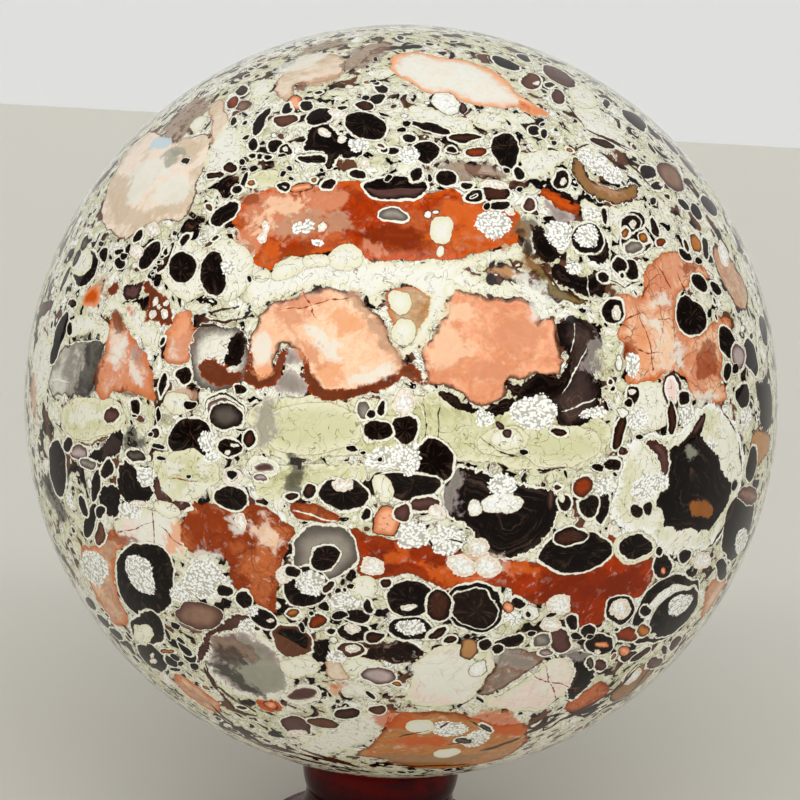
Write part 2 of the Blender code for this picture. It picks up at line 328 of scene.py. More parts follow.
# The large patches of the stone's front, written as the shapes are
PATCHES = (
    ("mossy", 245, 400, 300, 396, 360, 402, 430, 392, 470, 410, 600, 410, 612, 440, 590, 470, 470, 462,
     380, 452, 300, 458, 250, 450),
    ("mossy", 60, 402, 100, 400, 128, 415, 120, 432, 95, 446, 62, 436),
    ("mossy", 150, 455, 165, 446, 205, 444, 216, 470, 214, 490, 195, 502, 165, 492, 152, 475),
    ("mossy", 255, 470, 275, 458, 330, 462, 372, 466, 368, 485, 310, 492, 270, 502, 252, 490),
    ("milky", 150, 505, 178, 512, 180, 530, 190, 555, 168, 560, 140, 545, 118, 540, 115, 520),
    ("jasper", 232, 218, 243, 205, 250, 195, 262, 194, 275, 188, 300, 189, 330, 186, 345, 181, 362, 181,
     372, 195, 425, 196, 445, 187, 460, 190, 480, 203, 520, 205, 522, 240, 508, 246, 475, 253, 465, 262,
     430, 259, 400, 257, 362, 260, 352, 250, 333, 252, 300, 258, 285, 260, 272, 272, 262, 270, 255, 262,
     250, 240, 235, 230),
    ("blushing", 660, 255, 675, 250, 690, 262, 700, 260, 708, 270, 712, 280, 697, 275, 690, 290, 680, 295,
     675, 305, 675, 320, 682, 332, 700, 338, 707, 325, 725, 315, 735, 322, 720, 340, 722, 358, 718, 370,
     722, 385, 730, 392, 722, 405, 700, 403, 690, 395, 685, 375, 676, 370, 665, 372, 650, 385, 640, 388,
     625, 382, 622, 375, 640, 365, 625, 350, 612, 335, 620, 330, 625, 305, 612, 298, 612, 290, 640, 300,
     647, 285, 640, 275),
    ("rusty", 180, 503, 215, 505, 245, 510, 250, 504, 262, 505, 275, 515, 285, 522, 298, 528, 288, 540,
     283, 560, 279, 575, 275, 600, 281, 612, 270, 610, 245, 595, 232, 590, 228, 575, 230, 560, 215, 550,
     200, 555, 185, 550, 178, 540, 182, 525, 190, 515),
    ("orange", 82, 545, 96, 550, 105, 530, 130, 530, 136, 540, 120, 546, 112, 570, 118, 600, 132, 622,
     122, 628, 112, 622, 98, 600, 86, 575),
    ("ferrous", 345, 524, 358, 527, 385, 540, 396, 541, 410, 530, 430, 548, 455, 552, 480, 560, 500, 562,
     530, 562, 545, 556, 560, 568, 585, 564, 606, 545, 612, 530, 620, 548, 632, 562, 655, 556, 652, 580,
     640, 600, 612, 602, 605, 620, 595, 628, 575, 622, 568, 600, 545, 605, 520, 598, 500, 585, 440, 588,
     410, 572, 388, 578, 372, 583, 358, 574, 363, 552, 354, 538),
    ("orange", 708, 580, 722, 576, 734, 580, 728, 596, 716, 612, 700, 622, 704, 604),
    ("orange", 172, 678, 185, 677, 205, 692, 222, 705, 228, 716, 205, 708, 188, 697),
    ("rusty", 560, 707, 585, 690, 605, 678, 612, 690, 595, 705, 575, 712),
    ("jasper", 250, 698, 278, 698, 284, 710, 262, 712),
    ("shelly", 147, 131, 127, 150, 118, 165, 110, 185, 104, 200, 100, 213, 102, 222, 107, 232, 120, 236,
     130, 240, 140, 230, 160, 225, 175, 226, 185, 215, 193, 203, 200, 195, 197, 185, 203, 172, 210, 158,
     213, 140, 205, 132, 190, 138, 178, 142, 165, 138),
    ("sandy", 283, 75, 300, 60, 318, 53, 335, 55, 345, 63, 343, 72, 330, 80, 310, 84, 296, 82, 290, 92,
     296, 102, 285, 103, 272, 93, 276, 80),
    ("sandy", 212, 100, 224, 98, 228, 115, 224, 150, 214, 150, 210, 125),
    ("snowy", 388, 68, 392, 58, 400, 53, 412, 52, 430, 55, 450, 58, 470, 61, 483, 67, 495, 72, 505, 80,
     513, 88, 519, 96, 530, 100, 536, 108, 549, 114, 535, 110, 515, 106, 495, 109, 475, 107, 462, 102,
     455, 95, 437, 92, 428, 94, 420, 88, 408, 82, 392, 75),
    ("peachy", 258, 318, 268, 305, 280, 300, 300, 293, 320, 290, 342, 290, 360, 296, 372, 305, 380, 318,
     385, 330, 392, 345, 400, 358, 410, 365, 405, 375, 395, 380, 380, 385, 360, 392, 345, 398, 330, 400,
     320, 395, 315, 382, 307, 372, 303, 360, 297, 350, 288, 345, 283, 348, 278, 358, 270, 363, 278, 372,
     272, 380, 262, 388, 250, 385, 245, 378, 250, 365, 249, 340),
    ("salmony", 450, 290, 470, 292, 500, 297, 530, 300, 538, 320, 545, 325, 555, 320, 560, 345, 563, 360,
     560, 372, 550, 380, 535, 377, 520, 380, 508, 378, 505, 382, 510, 395, 500, 400, 485, 405, 475, 403,
     460, 395, 440, 388, 425, 383, 430, 368, 422, 355, 425, 345, 435, 335, 440, 325, 450, 315, 445, 300),
    ("honeyed", 385, 290, 410, 285, 432, 292, 436, 310, 430, 335, 412, 345, 396, 335, 386, 315),
    ("terracotta", 116, 305, 120, 316, 128, 330, 137, 345, 145, 353, 150, 362, 154, 378, 156, 400, 148, 398,
     135, 392, 120, 391, 110, 394, 107, 405, 98, 395, 93, 385, 96, 372, 103, 355, 108, 340, 108, 328,
     112, 320),
    ("terracotta", 175, 312, 183, 308, 196, 308, 193, 325, 201, 333, 199, 342, 190, 355, 186, 362, 176, 363,
     166, 361, 165, 350, 167, 342, 162, 333, 172, 325),
    ("smoky", 60, 345, 100, 335, 103, 350, 98, 375, 93, 398, 48, 397, 50, 375),
    ("tawny", 712, 245, 720, 243, 735, 265, 745, 285, 747, 305, 742, 313, 735, 308, 728, 290, 720, 275,
     714, 260),
    ("misty", 174, 606, 200, 603, 222, 612, 222, 617, 205, 622, 200, 632, 190, 633, 178, 622),
    ("sandy", 322, 660, 335, 658, 345, 668, 356, 680, 335, 682, 322, 672),
    ("dusky", 560, 653, 575, 648, 588, 652, 596, 668, 588, 678, 578, 690, 565, 700, 572, 680, 578, 665,
     572, 656),
    ("dusky", 350, 663, 358, 655, 370, 646, 390, 644, 412, 641, 425, 648, 420, 658, 410, 662, 395, 664,
     380, 660, 362, 660),
    ("rusty", 290, 503, 300, 503, 320, 508, 345, 516, 342, 522, 320, 521, 300, 521, 290, 512),
    ("dusky", 292, 455, 300, 452, 306, 468, 303, 480, 300, 492, 297, 485, 290, 485, 285, 495, 281, 492,
     283, 478, 288, 468),
    ("tigery", 366, 745, 375, 738, 385, 728, 395, 720, 410, 712, 440, 712, 480, 718, 505, 728, 530, 720,
     525, 745, 505, 758, 480, 765, 455, 768, 430, 769, 405, 765, 385, 758, 350, 757),
    ("creamy", 645, 432, 658, 428, 674, 434, 688, 424, 698, 408, 714, 404, 728, 414, 738, 430, 743, 450,
     744, 475, 738, 502, 724, 530, 712, 545, 690, 553, 668, 556, 654, 548, 652, 534, 628, 530, 612, 520,
     613, 500, 616, 475, 620, 455, 630, 442),
    ("milky", 404, 700, 412, 672, 425, 652, 445, 644, 462, 646, 470, 658, 482, 660, 492, 652, 500, 660,
     484, 678, 478, 695, 465, 704, 440, 707, 420, 708),
    ("milky", 480, 700, 505, 692, 528, 678, 545, 664, 562, 655, 574, 662, 577, 676, 568, 692, 550, 706,
     528, 713, 500, 711),
    ("misty", 474, 698, 483, 680, 500, 660, 507, 648, 518, 644, 532, 650, 548, 652, 542, 662, 528, 673,
     512, 683, 495, 692),
)

# The orbs of the stone's front: a look, and for each orb its middle, half-sizes and the right end's turn
# downwards in degrees, in the photograph's pixels and view
ORBS = (
    ("jet", (263, 121, 16, 5, -55), (306, 106, 6, 5), (288, 108, 4, 5), (254, 143, 6, 4.5, -80),
     (252, 155, 4, 3), (260, 156, 4, 3), (268, 156, 4, 3), (275, 145, 7, 6), (286, 151, 7, 6),
     (319, 117, 15, 8, -20), (368, 125, 21, 12, 15), (380, 89, 7, 3.5, 10), (374, 98, 10, 5, -8),
     (359, 173, 8, 5.5), (329, 185, 7, 5), (240, 189, 6, 5), (392, 150, 6, 3.5), (383, 149, 4, 3),
     (409, 138, 6, 4), (225, 214, 18, 8, -35), (246, 182, 4, 10, 10), (549, 85, 5, 2.5),
     (505, 63, 13, 4, 20), (525, 57, 8, 3, 25), (533, 130, 6, 5), (543, 133, 4, 4.5), (425, 152, 12),
     (448, 148, 5, 3.5), (505, 150, 17, 13, 65), (517, 172, 6), (447, 178, 11, 6), (468, 184, 6, 3),
     (500, 205, 10, 5), (562, 181, 8, 9), (415, 175, 6), (635, 120, 14, 5, 40), (608, 105, 6, 3, 70),
     (648, 172, 7, 8), (658, 187, 5), (685, 205, 8, 3, 45), (697, 212, 8, 4, 70), (709, 205, 12, 5, 60),
     (103, 256, 4.5, 6.5), (121, 251, 5, 2.5, -30), (121, 263, 5.5), (139, 237, 6, 3.5, -60),
     (150, 254, 15, 7, -55), (167, 250, 5, 3, -50), (185, 238, 6, 3.5, -65), (182, 266, 18, 13, -70),
     (212, 274, 13, 22), (58, 337, 27, 5, 107), (69, 328, 3, 7), (182, 375, 8), (163, 385, 12, 3, 100),
     (135, 404, 5, 7), (692, 317, 18, 15, 75), (701, 283, 9, 6, 55), (717, 288, 9, 4, 60),
     (685, 254, 8, 4, 40), (705, 247, 10, 3, 80), (655, 227, 9, 3.5, 75), (635, 222, 10, 9),
     (632, 270, 8, 11), (620, 265, 8), (604, 277, 5, 6), (728, 342, 16, 8, 82), (726, 371, 4, 9),
     (751, 357, 18, 7, 80), (743, 395, 7, 11), (764, 330, 15, 3, 80), (57, 468, 30, 8, 85),
     (68, 443, 4, 8, 15), (96, 487, 5, 17, 10), (107, 470, 6, 9, 10), (90, 522, 6, 17, 15),
     (83, 505, 3, 10, -15), (102, 515, 5, 6), (143, 582, 29, 37, -12), (232, 497, 15, 12),
     (343, 495, 25, 14), (366, 513, 5, 6), (325, 556, 17, 13), (378, 432, 17, 9), (405, 430, 12, 14),
     (384, 408, 4, 8), (372, 415, 6, 5), (432, 464, 20, 24), (412, 487, 30, 14), (567, 505, 8, 9),
     (590, 508, 9, 11), (602, 508, 10, 14), (578, 552, 36, 19, -8), (658, 553, 3, 5), (610, 465, 8, 6),
     (752, 465, 5, 18, 8), (740, 527, 13, 34, 15), (663, 567, 10, 12), (684, 557, 5, 7, 20),
     (722, 570, 7, 13, -30), (245, 600, 9, 7, 20), (263, 618, 15, 9, 35), (353, 632, 17, 9),
     (368, 607, 4, 6), (356, 616, 12, 6), (508, 641, 18, 6, -15), (497, 650, 6, 5), (483, 646, 7, 6),
     (520, 603, 7, 5, 20), (600, 645, 15, 11), (588, 630, 8, 6, -30), (410, 600, 22, 19),
     (147, 630, 17, 16, 30), (153, 658, 20, 9, 42), (186, 649, 8, 3, 45), (190, 656, 10, 5, 55),
     (172, 663, 8, 4, 45), (645, 612, 6), (572, 622, 6, 8), (293, 571, 8, 6), (225, 590, 8, 5, 20),
     (85, 268, 18, 10, -67), (224, 409, 20, 13), (240, 391, 5.5, 5), (612, 310, 11, 12), (685, 399, 5, 8),
     (633, 394, 6, 9), (587, 238, 15.5, 15), (604, 215, 3, 8, -15), (632, 224, 9, 8), (230, 449, 13, 8, 20),
     (306, 587, 23, 22), (619, 610, 13, 12), (409, 630, 23, 11), (668, 611, 42, 24, -47),
     (675, 614, 32, 15, -47), (430, 127, 25, 4, 12), (636, 546, 16, 13, 5), (637, 241, 13, 14),
     (311, 159, 13, 4, 5), (90, 603, 3, 9, -35), (104, 622, 3, 9, -40), (116, 634, 3, 8, -45)),
    ("bark", (241, 91, 7, 4, -25), (365, 105, 9, 5, 20), (230, 167, 6, 4), (216, 173, 8, 4),
     (465, 136, 18, 4), (602, 142, 13, 4, 20), (670, 145, 12, 3, 48), (248, 441, 6, 10, -20),
     (292, 498, 7, 4), (309, 493, 6, 8), (375, 637, 9, 6), (619, 432, 6, 20, 22), (671, 416, 4, 16),
     (348, 714, 13, 5), (449, 641, 8, 4, -10), (437, 633, 9, 4, -20), (628, 655, 9, 4, -30),
     (676, 642, 9, 3, -50), (640, 655, 10, 3, -30), (571, 537, 15, 8, -8), (155, 430, 5, 6),
     (388, 584, 6, 4), (330, 588, 7, 4, -30), (166, 257, 18, 4.5, -62), (560, 430, 9, 4), (495, 192, 14, 8),
     (72, 303, 7, 3, 20), (439, 605, 14, 17)),
    ("cocoa", (286, 120, 10, 5, -10), (101, 535, 5, 11, 10), (323, 723, 18, 5, 10), (378, 710, 9, 5),
     (622, 453, 5), (531, 80, 9, 8, 20)),
    ("plum", (560, 76, 18, 7, 30), (690, 165, 17, 3.5, 50), (559, 641, 11, 12), (600, 667, 6),
     (350, 650, 14, 7), (655, 663, 8, 5, -30), (425, 504, 17, 6), (403, 512, 8, 9), (112, 417, 8, 7),
     (557, 96, 8, 6, 50), (296, 725, 14, 9, 20), (529, 205, 6, 7)),
    ("smoke", (738, 358, 8, 15), (135, 455, 8, 6, -20), (589, 665, 5, 6), (226, 417, 16, 13.5),
     (464, 741, 8, 2.5, 10), (486, 728, 7, 2.5, 30)),
    ("mist", (326, 553, 34, 28), (541, 641, 8, 6), (87, 463, 9, 7, 20), (363, 412, 8, 9),
     (395, 214, 13, 7, 5), (635, 247, 9, 6)),
    ("lilac", (78, 450, 9, 8), (262, 477, 6, 4), (545, 652, 6, 3), (224, 411, 18, 12),
     (738, 357, 7, 14, -8), (378, 675, 16, 8, 5)),
    ("crystal", (359, 144, 11, 8), (408, 155, 12, 10), (495, 225, 18, 16), (560, 235, 18, 14, 40),
     (575, 270, 9, 6), (228, 268, 9), (298, 227, 6, 7), (309, 226, 6, 8), (319, 242, 5, 3.5),
     (205, 440, 10, 8), (209, 455, 9, 7), (144, 475, 9), (141, 576, 21, 13, 62), (94, 569, 12, 18, -20),
     (204, 579, 21, 20), (183, 592, 14, 10), (311, 583, 17, 15), (350, 603, 18, 14), (383, 459, 18, 13),
     (409, 457, 15, 20), (501, 485, 14, 13), (485, 417, 12, 9), (600, 488, 10), (742, 540, 6, 14, 15),
     (246, 626, 10, 8), (253, 610, 7, 5), (512, 618, 10, 8), (595, 415, 12, 6, -10), (535, 413, 22, 19),
     (633, 366, 8, 12), (638, 418, 10, 11), (686, 416, 8, 11), (746, 414, 6, 14), (587, 156, 8),
     (600, 165, 11, 9, 30), (614, 174, 11, 8, 25), (586, 236, 12.5), (592, 213, 10, 7, 10),
     (131, 510, 11, 9), (412, 535, 16, 15), (446, 540, 18, 17), (246, 626, 9, 7), (410, 629, 17, 8),
     (334, 657, 12, 6), (449, 729, 17, 8), (476, 739, 15, 8, -20), (646, 488, 15, 14, -10),
     (661, 481, 9, 10), (713, 446, 6, 5), (681, 604, 14, 9, -45), (70, 500, 4, 7, -15)),
    ("frost", (339, 114, 11, 5, 15), (286, 150, 3, 2), (535, 82, 3, 2), (565, 181, 3), (322, 229, 4),
     (265, 228, 4, 6), (262, 238, 5, 4), (152, 231, 7, 5), (137, 252, 6.5, 7.5), (633, 225, 3, 4),
     (488, 569, 12, 10), (462, 566, 16, 9, 20), (374, 566, 11, 10), (405, 402, 10, 12), (560, 605, 12, 9),
     (552, 625, 9), (632, 677, 13, 5, -35), (651, 638, 4, 2, -45), (351, 628, 9, 4), (352, 649, 8, 4),
     (409, 607, 7, 3), (166, 680, 8, 4, 40), (152, 656, 2, 3), (154, 662, 4, 2.5, 30), (270, 620, 3, 2),
     (343, 487, 11, 7), (437, 512, 8, 6), (598, 653, 4, 2), (703, 560, 8, 9), (232, 476, 11, 8),
     (283, 575, 9), (163, 262, 2.2), (170, 248, 2.2), (154, 303, 3), (163, 314, 3, 4), (152, 314, 3),
     (165, 305, 2), (158, 308, 2), (632, 391, 3), (616, 312, 4, 7), (564, 183, 2.5, 3), (661, 184, 2, 3),
     (226, 452, 3, 2), (234, 447, 4, 1.5, 20), (619, 610, 9, 8.5), (494, 184, 12, 4), (512, 212, 4),
     (139, 503, 7, 3, 10), (240, 520, 6, 9), (296, 732, 8, 3), (723, 252, 4, 12, -20), (322, 133, 5, 3),
     (342, 138, 5, 4), (480, 549, 11, 10)),
    ("pearl", (531, 613, 10, 8), (623, 412, 5, 4), (671, 611, 35, 18, -47), (447, 103, 15, 10, 30),
     (478, 668, 10, 7, -30), (430, 213, 4), (438, 211, 3, 2), (502, 504, 21, 12), (475, 507, 8)),
    ("cream", (185, 268, 24, 31), (227, 268, 26, 31), (385, 490, 10, 13), (365, 590, 13),
     (167, 508, 15, 8, 15), (143, 634, 11, 10, 30), (508, 441, 17, 10), (365, 668, 22, 9, 10),
     (564, 498, 4, 7), (300, 668, 18, 12), (648, 405, 24, 23)),
    ("lobe", (503, 442, 27, 14, -5), (310, 428, 52, 24), (90, 418, 32, 20), (186, 474, 30, 26),
     (560, 445, 40, 22), (270, 180, 20, 9)),
    ("rust", (475, 151, 12, 5, 5), (660, 242, 5), (585, 487, 8, 11, 15), (318, 622, 10, 5, -15),
     (628, 633, 12, 7), (233, 102, 6, 5, -35)),
    ("amber", (255, 184, 4, 3), (313, 180, 4, 2.5), (695, 243, 9, 5, 65), (644, 630, 6, 5),
     (294, 615, 7, 4), (168, 651, 8, 3, -10), (644, 238, 4, 5), (627, 233, 3, 4)),
    ("salmon", (295, 103, 8, 7), (301, 188, 11, 4), (388, 521, 13, 15), (603, 645, 8, 3), (664, 571, 3),
     (509, 607, 5, 5, 30), (270, 704, 6, 3), (625, 650, 6, 4, -30)),
    ("eye", (283, 187, 6, 4), (474, 195, 9, 5.5), (475, 608, 29, 24), (529, 615, 3)),
    ("ringed", (265, 466, 12, 8), (301, 695, 18, 8)),
    ("cloud", (480, 565, 28, 12, 10), (262, 530, 14, 10, 20), (268, 540, 12, 8), (664, 352, 12, 18)),
    ("haze", (222, 250, 9, 8), (265, 425, 12, 22, 10), (594, 358, 8, 17, 10), (515, 660, 20, 9, 10),
     (575, 655, 16, 6, 10), (138, 357, 3, 10, -20), (452, 490, 6, 19, 5)),
    ("glow", (480, 245, 24, 6), (500, 725, 26, 12, 10), (400, 722, 30, 8, 5), (420, 742, 34, 6),
     (131, 311, 3.5)),
    ("bead", (282, 157, 4, 2), (375, 81, 4, 2), (363, 96, 4, 3), (387, 114, 6, 1.5, 25), (376, 60, 3, 2),
     (253, 169, 5, 3), (243, 169, 3, 2), (241, 162, 3), (288, 168, 2.5, 2), (289, 178, 2.5, 2),
     (282, 174, 4, 2, -60), (320, 169, 3, 2), (389, 176, 5, 3), (402, 130, 4, 2.5), (407, 124, 4, 3),
     (541, 124, 3, 2), (554, 142, 2.5, 2), (505, 168, 3, 2.5), (429, 178, 3, 4), (518, 188, 3, 2.5),
     (487, 205, 4), (655, 202, 3, 4), (250, 279, 2.5, 4), (112, 258, 2), (100, 245, 3, 2.5),
     (125, 256, 3, 4), (163, 256, 2), (160, 262, 2), (156, 268, 2), (153, 274, 2), (699, 260, 3),
     (735, 370, 4, 5), (629, 402, 4), (190, 403, 6, 4), (187, 161, 4, 3), (340, 592, 2.5, 2), (347, 592, 2),
     (353, 588, 3), (381, 460, 2, 3), (150, 431, 3), (158, 412, 2, 7), (134, 413, 3, 2), (597, 468, 5, 4),
     (612, 475, 3, 2), (300, 627, 3, 5), (313, 617, 3, 2), (326, 608, 6, 4), (340, 616, 7, 3),
     (533, 632, 4, 3), (589, 636, 4, 3), (576, 635, 5, 3), (183, 640, 5, 2, 40), (176, 626, 5, 3, 20),
     (168, 634, 2, 5, -20), (196, 668, 5, 3, 20), (175, 657, 6, 3, 40), (181, 665, 4, 3), (177, 672, 5, 2),
     (350, 448, 6, 3), (362, 450, 3, 2), (232, 474, 6, 4), (190, 476, 3, 2.5), (158, 444, 6, 3),
     (160, 458, 5, 2), (525, 452, 5, 3), (664, 650, 3, 4), (553, 615, 6, 2, -20), (641, 436, 4, 3),
     (735, 484, 3, 5)),
    ("pebble", (81, 262, 15, 10, -67), (178, 403, 14, 11), (398, 303, 11, 13), (403, 333, 13, 14),
     (344, 258, 16, 13), (316, 262, 15, 8, -8), (290, 269, 20, 9, -22), (440, 252, 5, 5.5),
     (262, 276, 8, 5, -20), (421, 727, 14, 8), (446, 753, 14, 5, -5), (583, 95, 18, 9, 38),
     (635, 547, 21, 17, 5), (442, 230, 14, 15)),
    ("tan", (182, 394, 13, 6, -10), (362, 306, 16, 6, 40), (379, 333, 16, 6, 62), (394, 356, 14, 5, 55),
     (98, 289, 9, 12, 15), (33, 395, 3, 22), (318, 81, 24, 4, -18), (300, 222, 24, 14), (336, 222, 12, 10),
     (612, 191, 18, 3, 18)),
    ("mahogany", (117, 322, 6, 12, -10), (125, 392, 22, 4, 5), (302, 88, 10, 3, -18)),
    ("apricot", (345, 318, 20, 13, 20), (330, 373, 14, 12), (262, 371, 9, 5), (182, 325, 8, 12, 15),
     (173, 540, 9, 16, 10), (643, 346, 10, 24), (690, 330, 6, 14)),
    ("blush", (184, 346, 7, 9), (292, 313, 18, 11, -10), (310, 352, 18, 7, 50), (300, 300, 18, 5, -10),
     (440, 377, 20, 4, 6), (520, 335, 25, 14), (490, 372, 16, 10), (675, 272, 14), (630, 302, 12, 5),
     (276, 212, 34, 24), (322, 202, 24, 14), (250, 240, 12, 14, 30), (372, 248, 14, 7), (337, 689, 8, 5)),
    ("milk", (325, 342, 30, 7, 42), (374, 373, 22, 7, -12), (262, 350, 10, 16, 10), (538, 302, 12, 22, -15),
     (650, 323, 6, 5), (679, 353, 5, 13, -8), (705, 398, 12, 5), (660, 300, 8, 5), (236, 525, 9, 11),
     (165, 530, 12, 18, -20), (205, 553, 14, 6), (150, 545, 26, 10, 10), (176, 466, 14, 7),
     (196, 489, 15, 6, -10), (205, 462, 6, 10), (168, 484, 7), (300, 62, 30, 6, -20), (88, 600, 6, 20, -30),
     (150, 520, 20, 6), (352, 690, 12, 6), (352, 738, 22, 10, -15), (440, 690, 14, 10), (420, 670, 9),
     (525, 278, 12, 6), (85, 415, 20, 9), (172, 192, 22, 14, -35), (138, 182, 12, 22, 30),
     (158, 168, 14, 8), (120, 352, 5, 16, 20), (136, 372, 4, 12, -30)),
    ("slate", (84, 336, 22, 3, -5)),
    ("dune", (447, 345, 17, 24, 30), (462, 312, 14, 12), (285, 206, 20, 11), (262, 222, 12, 9)),
    ("rosy", (673, 390, 8, 15, -5)),
    ("russet", (707, 362, 9, 20, 8), (630, 352, 6, 8), (690, 268, 8, 6), (120, 537, 15, 7, 10),
     (205, 520, 22, 8), (400, 236, 40, 12), (300, 252, 26, 6, -25), (250, 200, 9, 7)),
    ("carrot", (650, 380, 15, 6, -18), (466, 214, 26, 16), (455, 236, 34, 8), (270, 250, 10, 9),
     (520, 570, 18, 8), (455, 574, 34, 9, 8), (400, 556, 14, 8)),
    ("dove", (671, 176, 20, 9, 50), (749, 497, 12, 9, 10), (245, 104, 10, 5, -28), (197, 615, 23, 14, 8)),
    ("oxblood", (600, 585, 26, 15), (560, 578, 22, 9), (390, 236, 34, 10), (385, 560, 18, 10),
     (566, 596, 22, 16), (626, 582, 22, 12)),
    ("moorland", (612, 194, 18, 4, 12), (530, 262, 7, 16, -35), (430, 760, 50, 6), (524, 232, 5, 12, -15)),
    ("shade", (525, 245, 5, 10, -30), (236, 680, 33, 5, 34)),
    ("dun", (112, 446, 13, 9, -38), (62, 470, 6, 16, -5), (229, 657, 18, 8, 24)),
    ("dome", (190, 438, 21, 20)),
    ("night", (291, 642, 22, 15, 25)),
    ("lichen", (692, 451, 5, 9, -20), (256, 671, 33, 15, 28), (170, 157, 10, 6, -10), (178, 152, 8, 5, 10)),
    ("horn", (633, 683, 30, 8, -40)),
    ("bare_jet", (637, 512, 7, 6), (649, 511, 5, 7)),
    ("bare_plum", (699, 426, 4, 10, 35), (621, 452, 4, 6), (45, 308, 9, 5, -50), (462, 109, 4, 5),
     (552, 500, 4, 12, 8), (503, 426, 7, 4, 40), (511, 436, 4, 5)),
    ("steel", (85, 243, 3, 9, 25), (76, 259, 3, 10, 22), (66, 277, 2, 9, 22)),
    ("mauve", (366, 54, 28, 10, -20), (186, 118, 32, 12, -45), (325, 46, 26, 4, -12), (472, 170, 34, 9, 5),
     (232, 650, 24, 11, 22)),
    ("calm", (488, 120, 14, 8), (518, 118, 14, 5), (104, 332, 5, 12), (447, 290, 6, 8),
     (262, 88, 12, 7, -30), (385, 75, 9, 5), (200, 122, 9, 6, -40)),
    ("hide", (467, 650, 9, 10)),
    ("flame", (93, 296, 8, 14, 25)),
    ("two_tone", (395, 186, 32, 11, 2)),
    ("fawn", (132, 218, 24, 10, 20), (165, 214, 18, 7, -10), (118, 195, 10, 20, 20), (188, 150, 10, 12)),
    ("sky", (160, 143, 12, 6, -20)),
)

# Narrow dark and pale lines of the stone's front: a look, and for each line two ends and the width, in the
# photograph's pixels
LINES = (
    ("line", (625, 160, 655, 190, 1.6), (590, 130, 633, 150, 1.6), (540, 265, 560, 290, 2.2),
     (560, 290, 580, 302, 2.2), (100, 312, 111, 327, 1.5), (540, 471, 566, 467, 1.8),
     (240, 740, 290, 757, 2.2), (290, 757, 330, 769, 2.4), (330, 769, 380, 778, 2.2),
     (478, 436, 496, 451, 1.6), (496, 451, 520, 456, 1.6), (424, 405, 424, 440, 1), (440, 405, 437, 440, 1),
     (463, 545, 448, 542, 1.8), (185, 405, 192, 440, 0.8), (313, 553, 340, 566, 1.4),
     (205, 322, 250, 317, 2.4), (210, 312, 236, 305, 2.2), (192, 330, 228, 325, 1.6),
     (240, 378, 241, 390, 1.4), (560, 372, 575, 345, 1.2), (608, 278, 623, 288, 1.6),
     (623, 288, 640, 282, 1.6), (576, 150, 590, 143, 2), (600, 152, 630, 172, 2), (205, 726, 252, 747, 2.6),
     (300, 750, 362, 769, 3), (530, 142, 480, 150, 1.2), (206, 664, 216, 686, 2), (216, 686, 236, 702, 2.4),
     (236, 702, 256, 713, 1.8), (440, 728, 452, 722, 1.6), (470, 722, 486, 730, 1.4),
     (448, 744, 470, 742, 1.4), (398, 738, 430, 731, 1.2), (395, 766, 470, 765, 1.2),
     (600, 711, 628, 697, 2), (628, 697, 655, 664, 1.6), (596, 702, 616, 690, 1.4),
     (616, 690, 640, 662, 1.2), (724, 412, 736, 434, 1.5), (738, 440, 742, 470, 1.5),
     (733, 512, 712, 545, 1.6), (737, 500, 728, 522, 1.2), (568, 104, 585, 127, 1.6),
     (585, 127, 632, 152, 1.6), (205, 668, 218, 692, 2.4), (218, 692, 238, 712, 2.4),
     (238, 712, 258, 717, 2), (213, 706, 232, 726, 2.4), (232, 726, 262, 744, 3), (262, 744, 300, 755, 3),
     (300, 755, 345, 764, 2.2), (40, 300, 48, 268, 2), (60, 236, 78, 206, 2), (92, 188, 112, 160, 2),
     (560, 722, 600, 700, 3), (522, 735, 560, 719, 3.5), (480, 752, 520, 738, 2.6),
     (604, 700, 640, 668, 2.4)),
    ("pale_line", (418, 402, 424, 420, 1.6), (560, 410, 598, 400, 1.2), (300, 513, 335, 521, 1.6),
     (575, 326, 569, 350, 1.2), (586, 350, 560, 392, 1.6), (285, 366, 303, 374, 1.4),
     (587, 276, 588, 296, 1), (230, 735, 300, 760, 2.4), (60, 344, 100, 339, 1.2), (50, 380, 68, 383, 1.2)),
    ("seam", (305, 288, 317, 320, 0.8), (275, 307, 365, 297, 0.8), (680, 275, 690, 300, 1),
     (640, 316, 646, 330, 1), (646, 330, 652, 368, 1), (620, 320, 642, 312, 1), (640, 300, 650, 285, 1),
     (658, 268, 672, 290, 1), (624, 350, 660, 352, 0.9), (150, 510, 153, 546, 1), (118, 531, 148, 522, 1),
     (158, 526, 182, 546, 1.2), (190, 530, 232, 536, 1.2), (200, 512, 206, 548, 1), (541, 664, 558, 700, 1),
     (528, 676, 576, 690, 0.9), (170, 476, 200, 484, 1)),
    ("hide", (78, 439, 91, 444, 2.5), (91, 444, 110, 437, 2.5)),
)


def view_axes():
    """The photograph's right, up and back directions, as its camera was turned."""
    back = np.array((0.0, -math.cos(VIEW_ELEVATION), math.sin(VIEW_ELEVATION)))
    level_up = np.array((0.0, math.sin(VIEW_ELEVATION), math.cos(VIEW_ELEVATION)))
    level_right = np.array((1.0, 0.0, 0.0))
    right = level_right * math.cos(VIEW_ROLL) + level_up * math.sin(VIEW_ROLL)
    up = level_up * math.cos(VIEW_ROLL) - level_right * math.sin(VIEW_ROLL)
    return right, up, back


RIGHT, UP, BACK = view_axes()


def stone_point(x, y):
    """The direction from the stone's centre to what a pixel of the photograph shows of the stone."""
    offset = np.array((x - PHOTO_STONE[0], y - PHOTO_STONE[1]))
    reach = np.hypot(*offset) / (PHOTO_RADIUS * LIMB)
    if reach > 1:
        offset = offset / reach
    ray = RIGHT * offset[0] - UP * offset[1] - BACK * PHOTO_FOCUS
    ray = ray / np.linalg.norm(ray)
    camera = BACK * VIEW_DISTANCE
    along = camera @ ray
    depth = -along - math.sqrt(max(along**2 - VIEW_DISTANCE**2 + 1, 0.0))
    point = camera + ray * depth
    return point / np.linalg.norm(point)


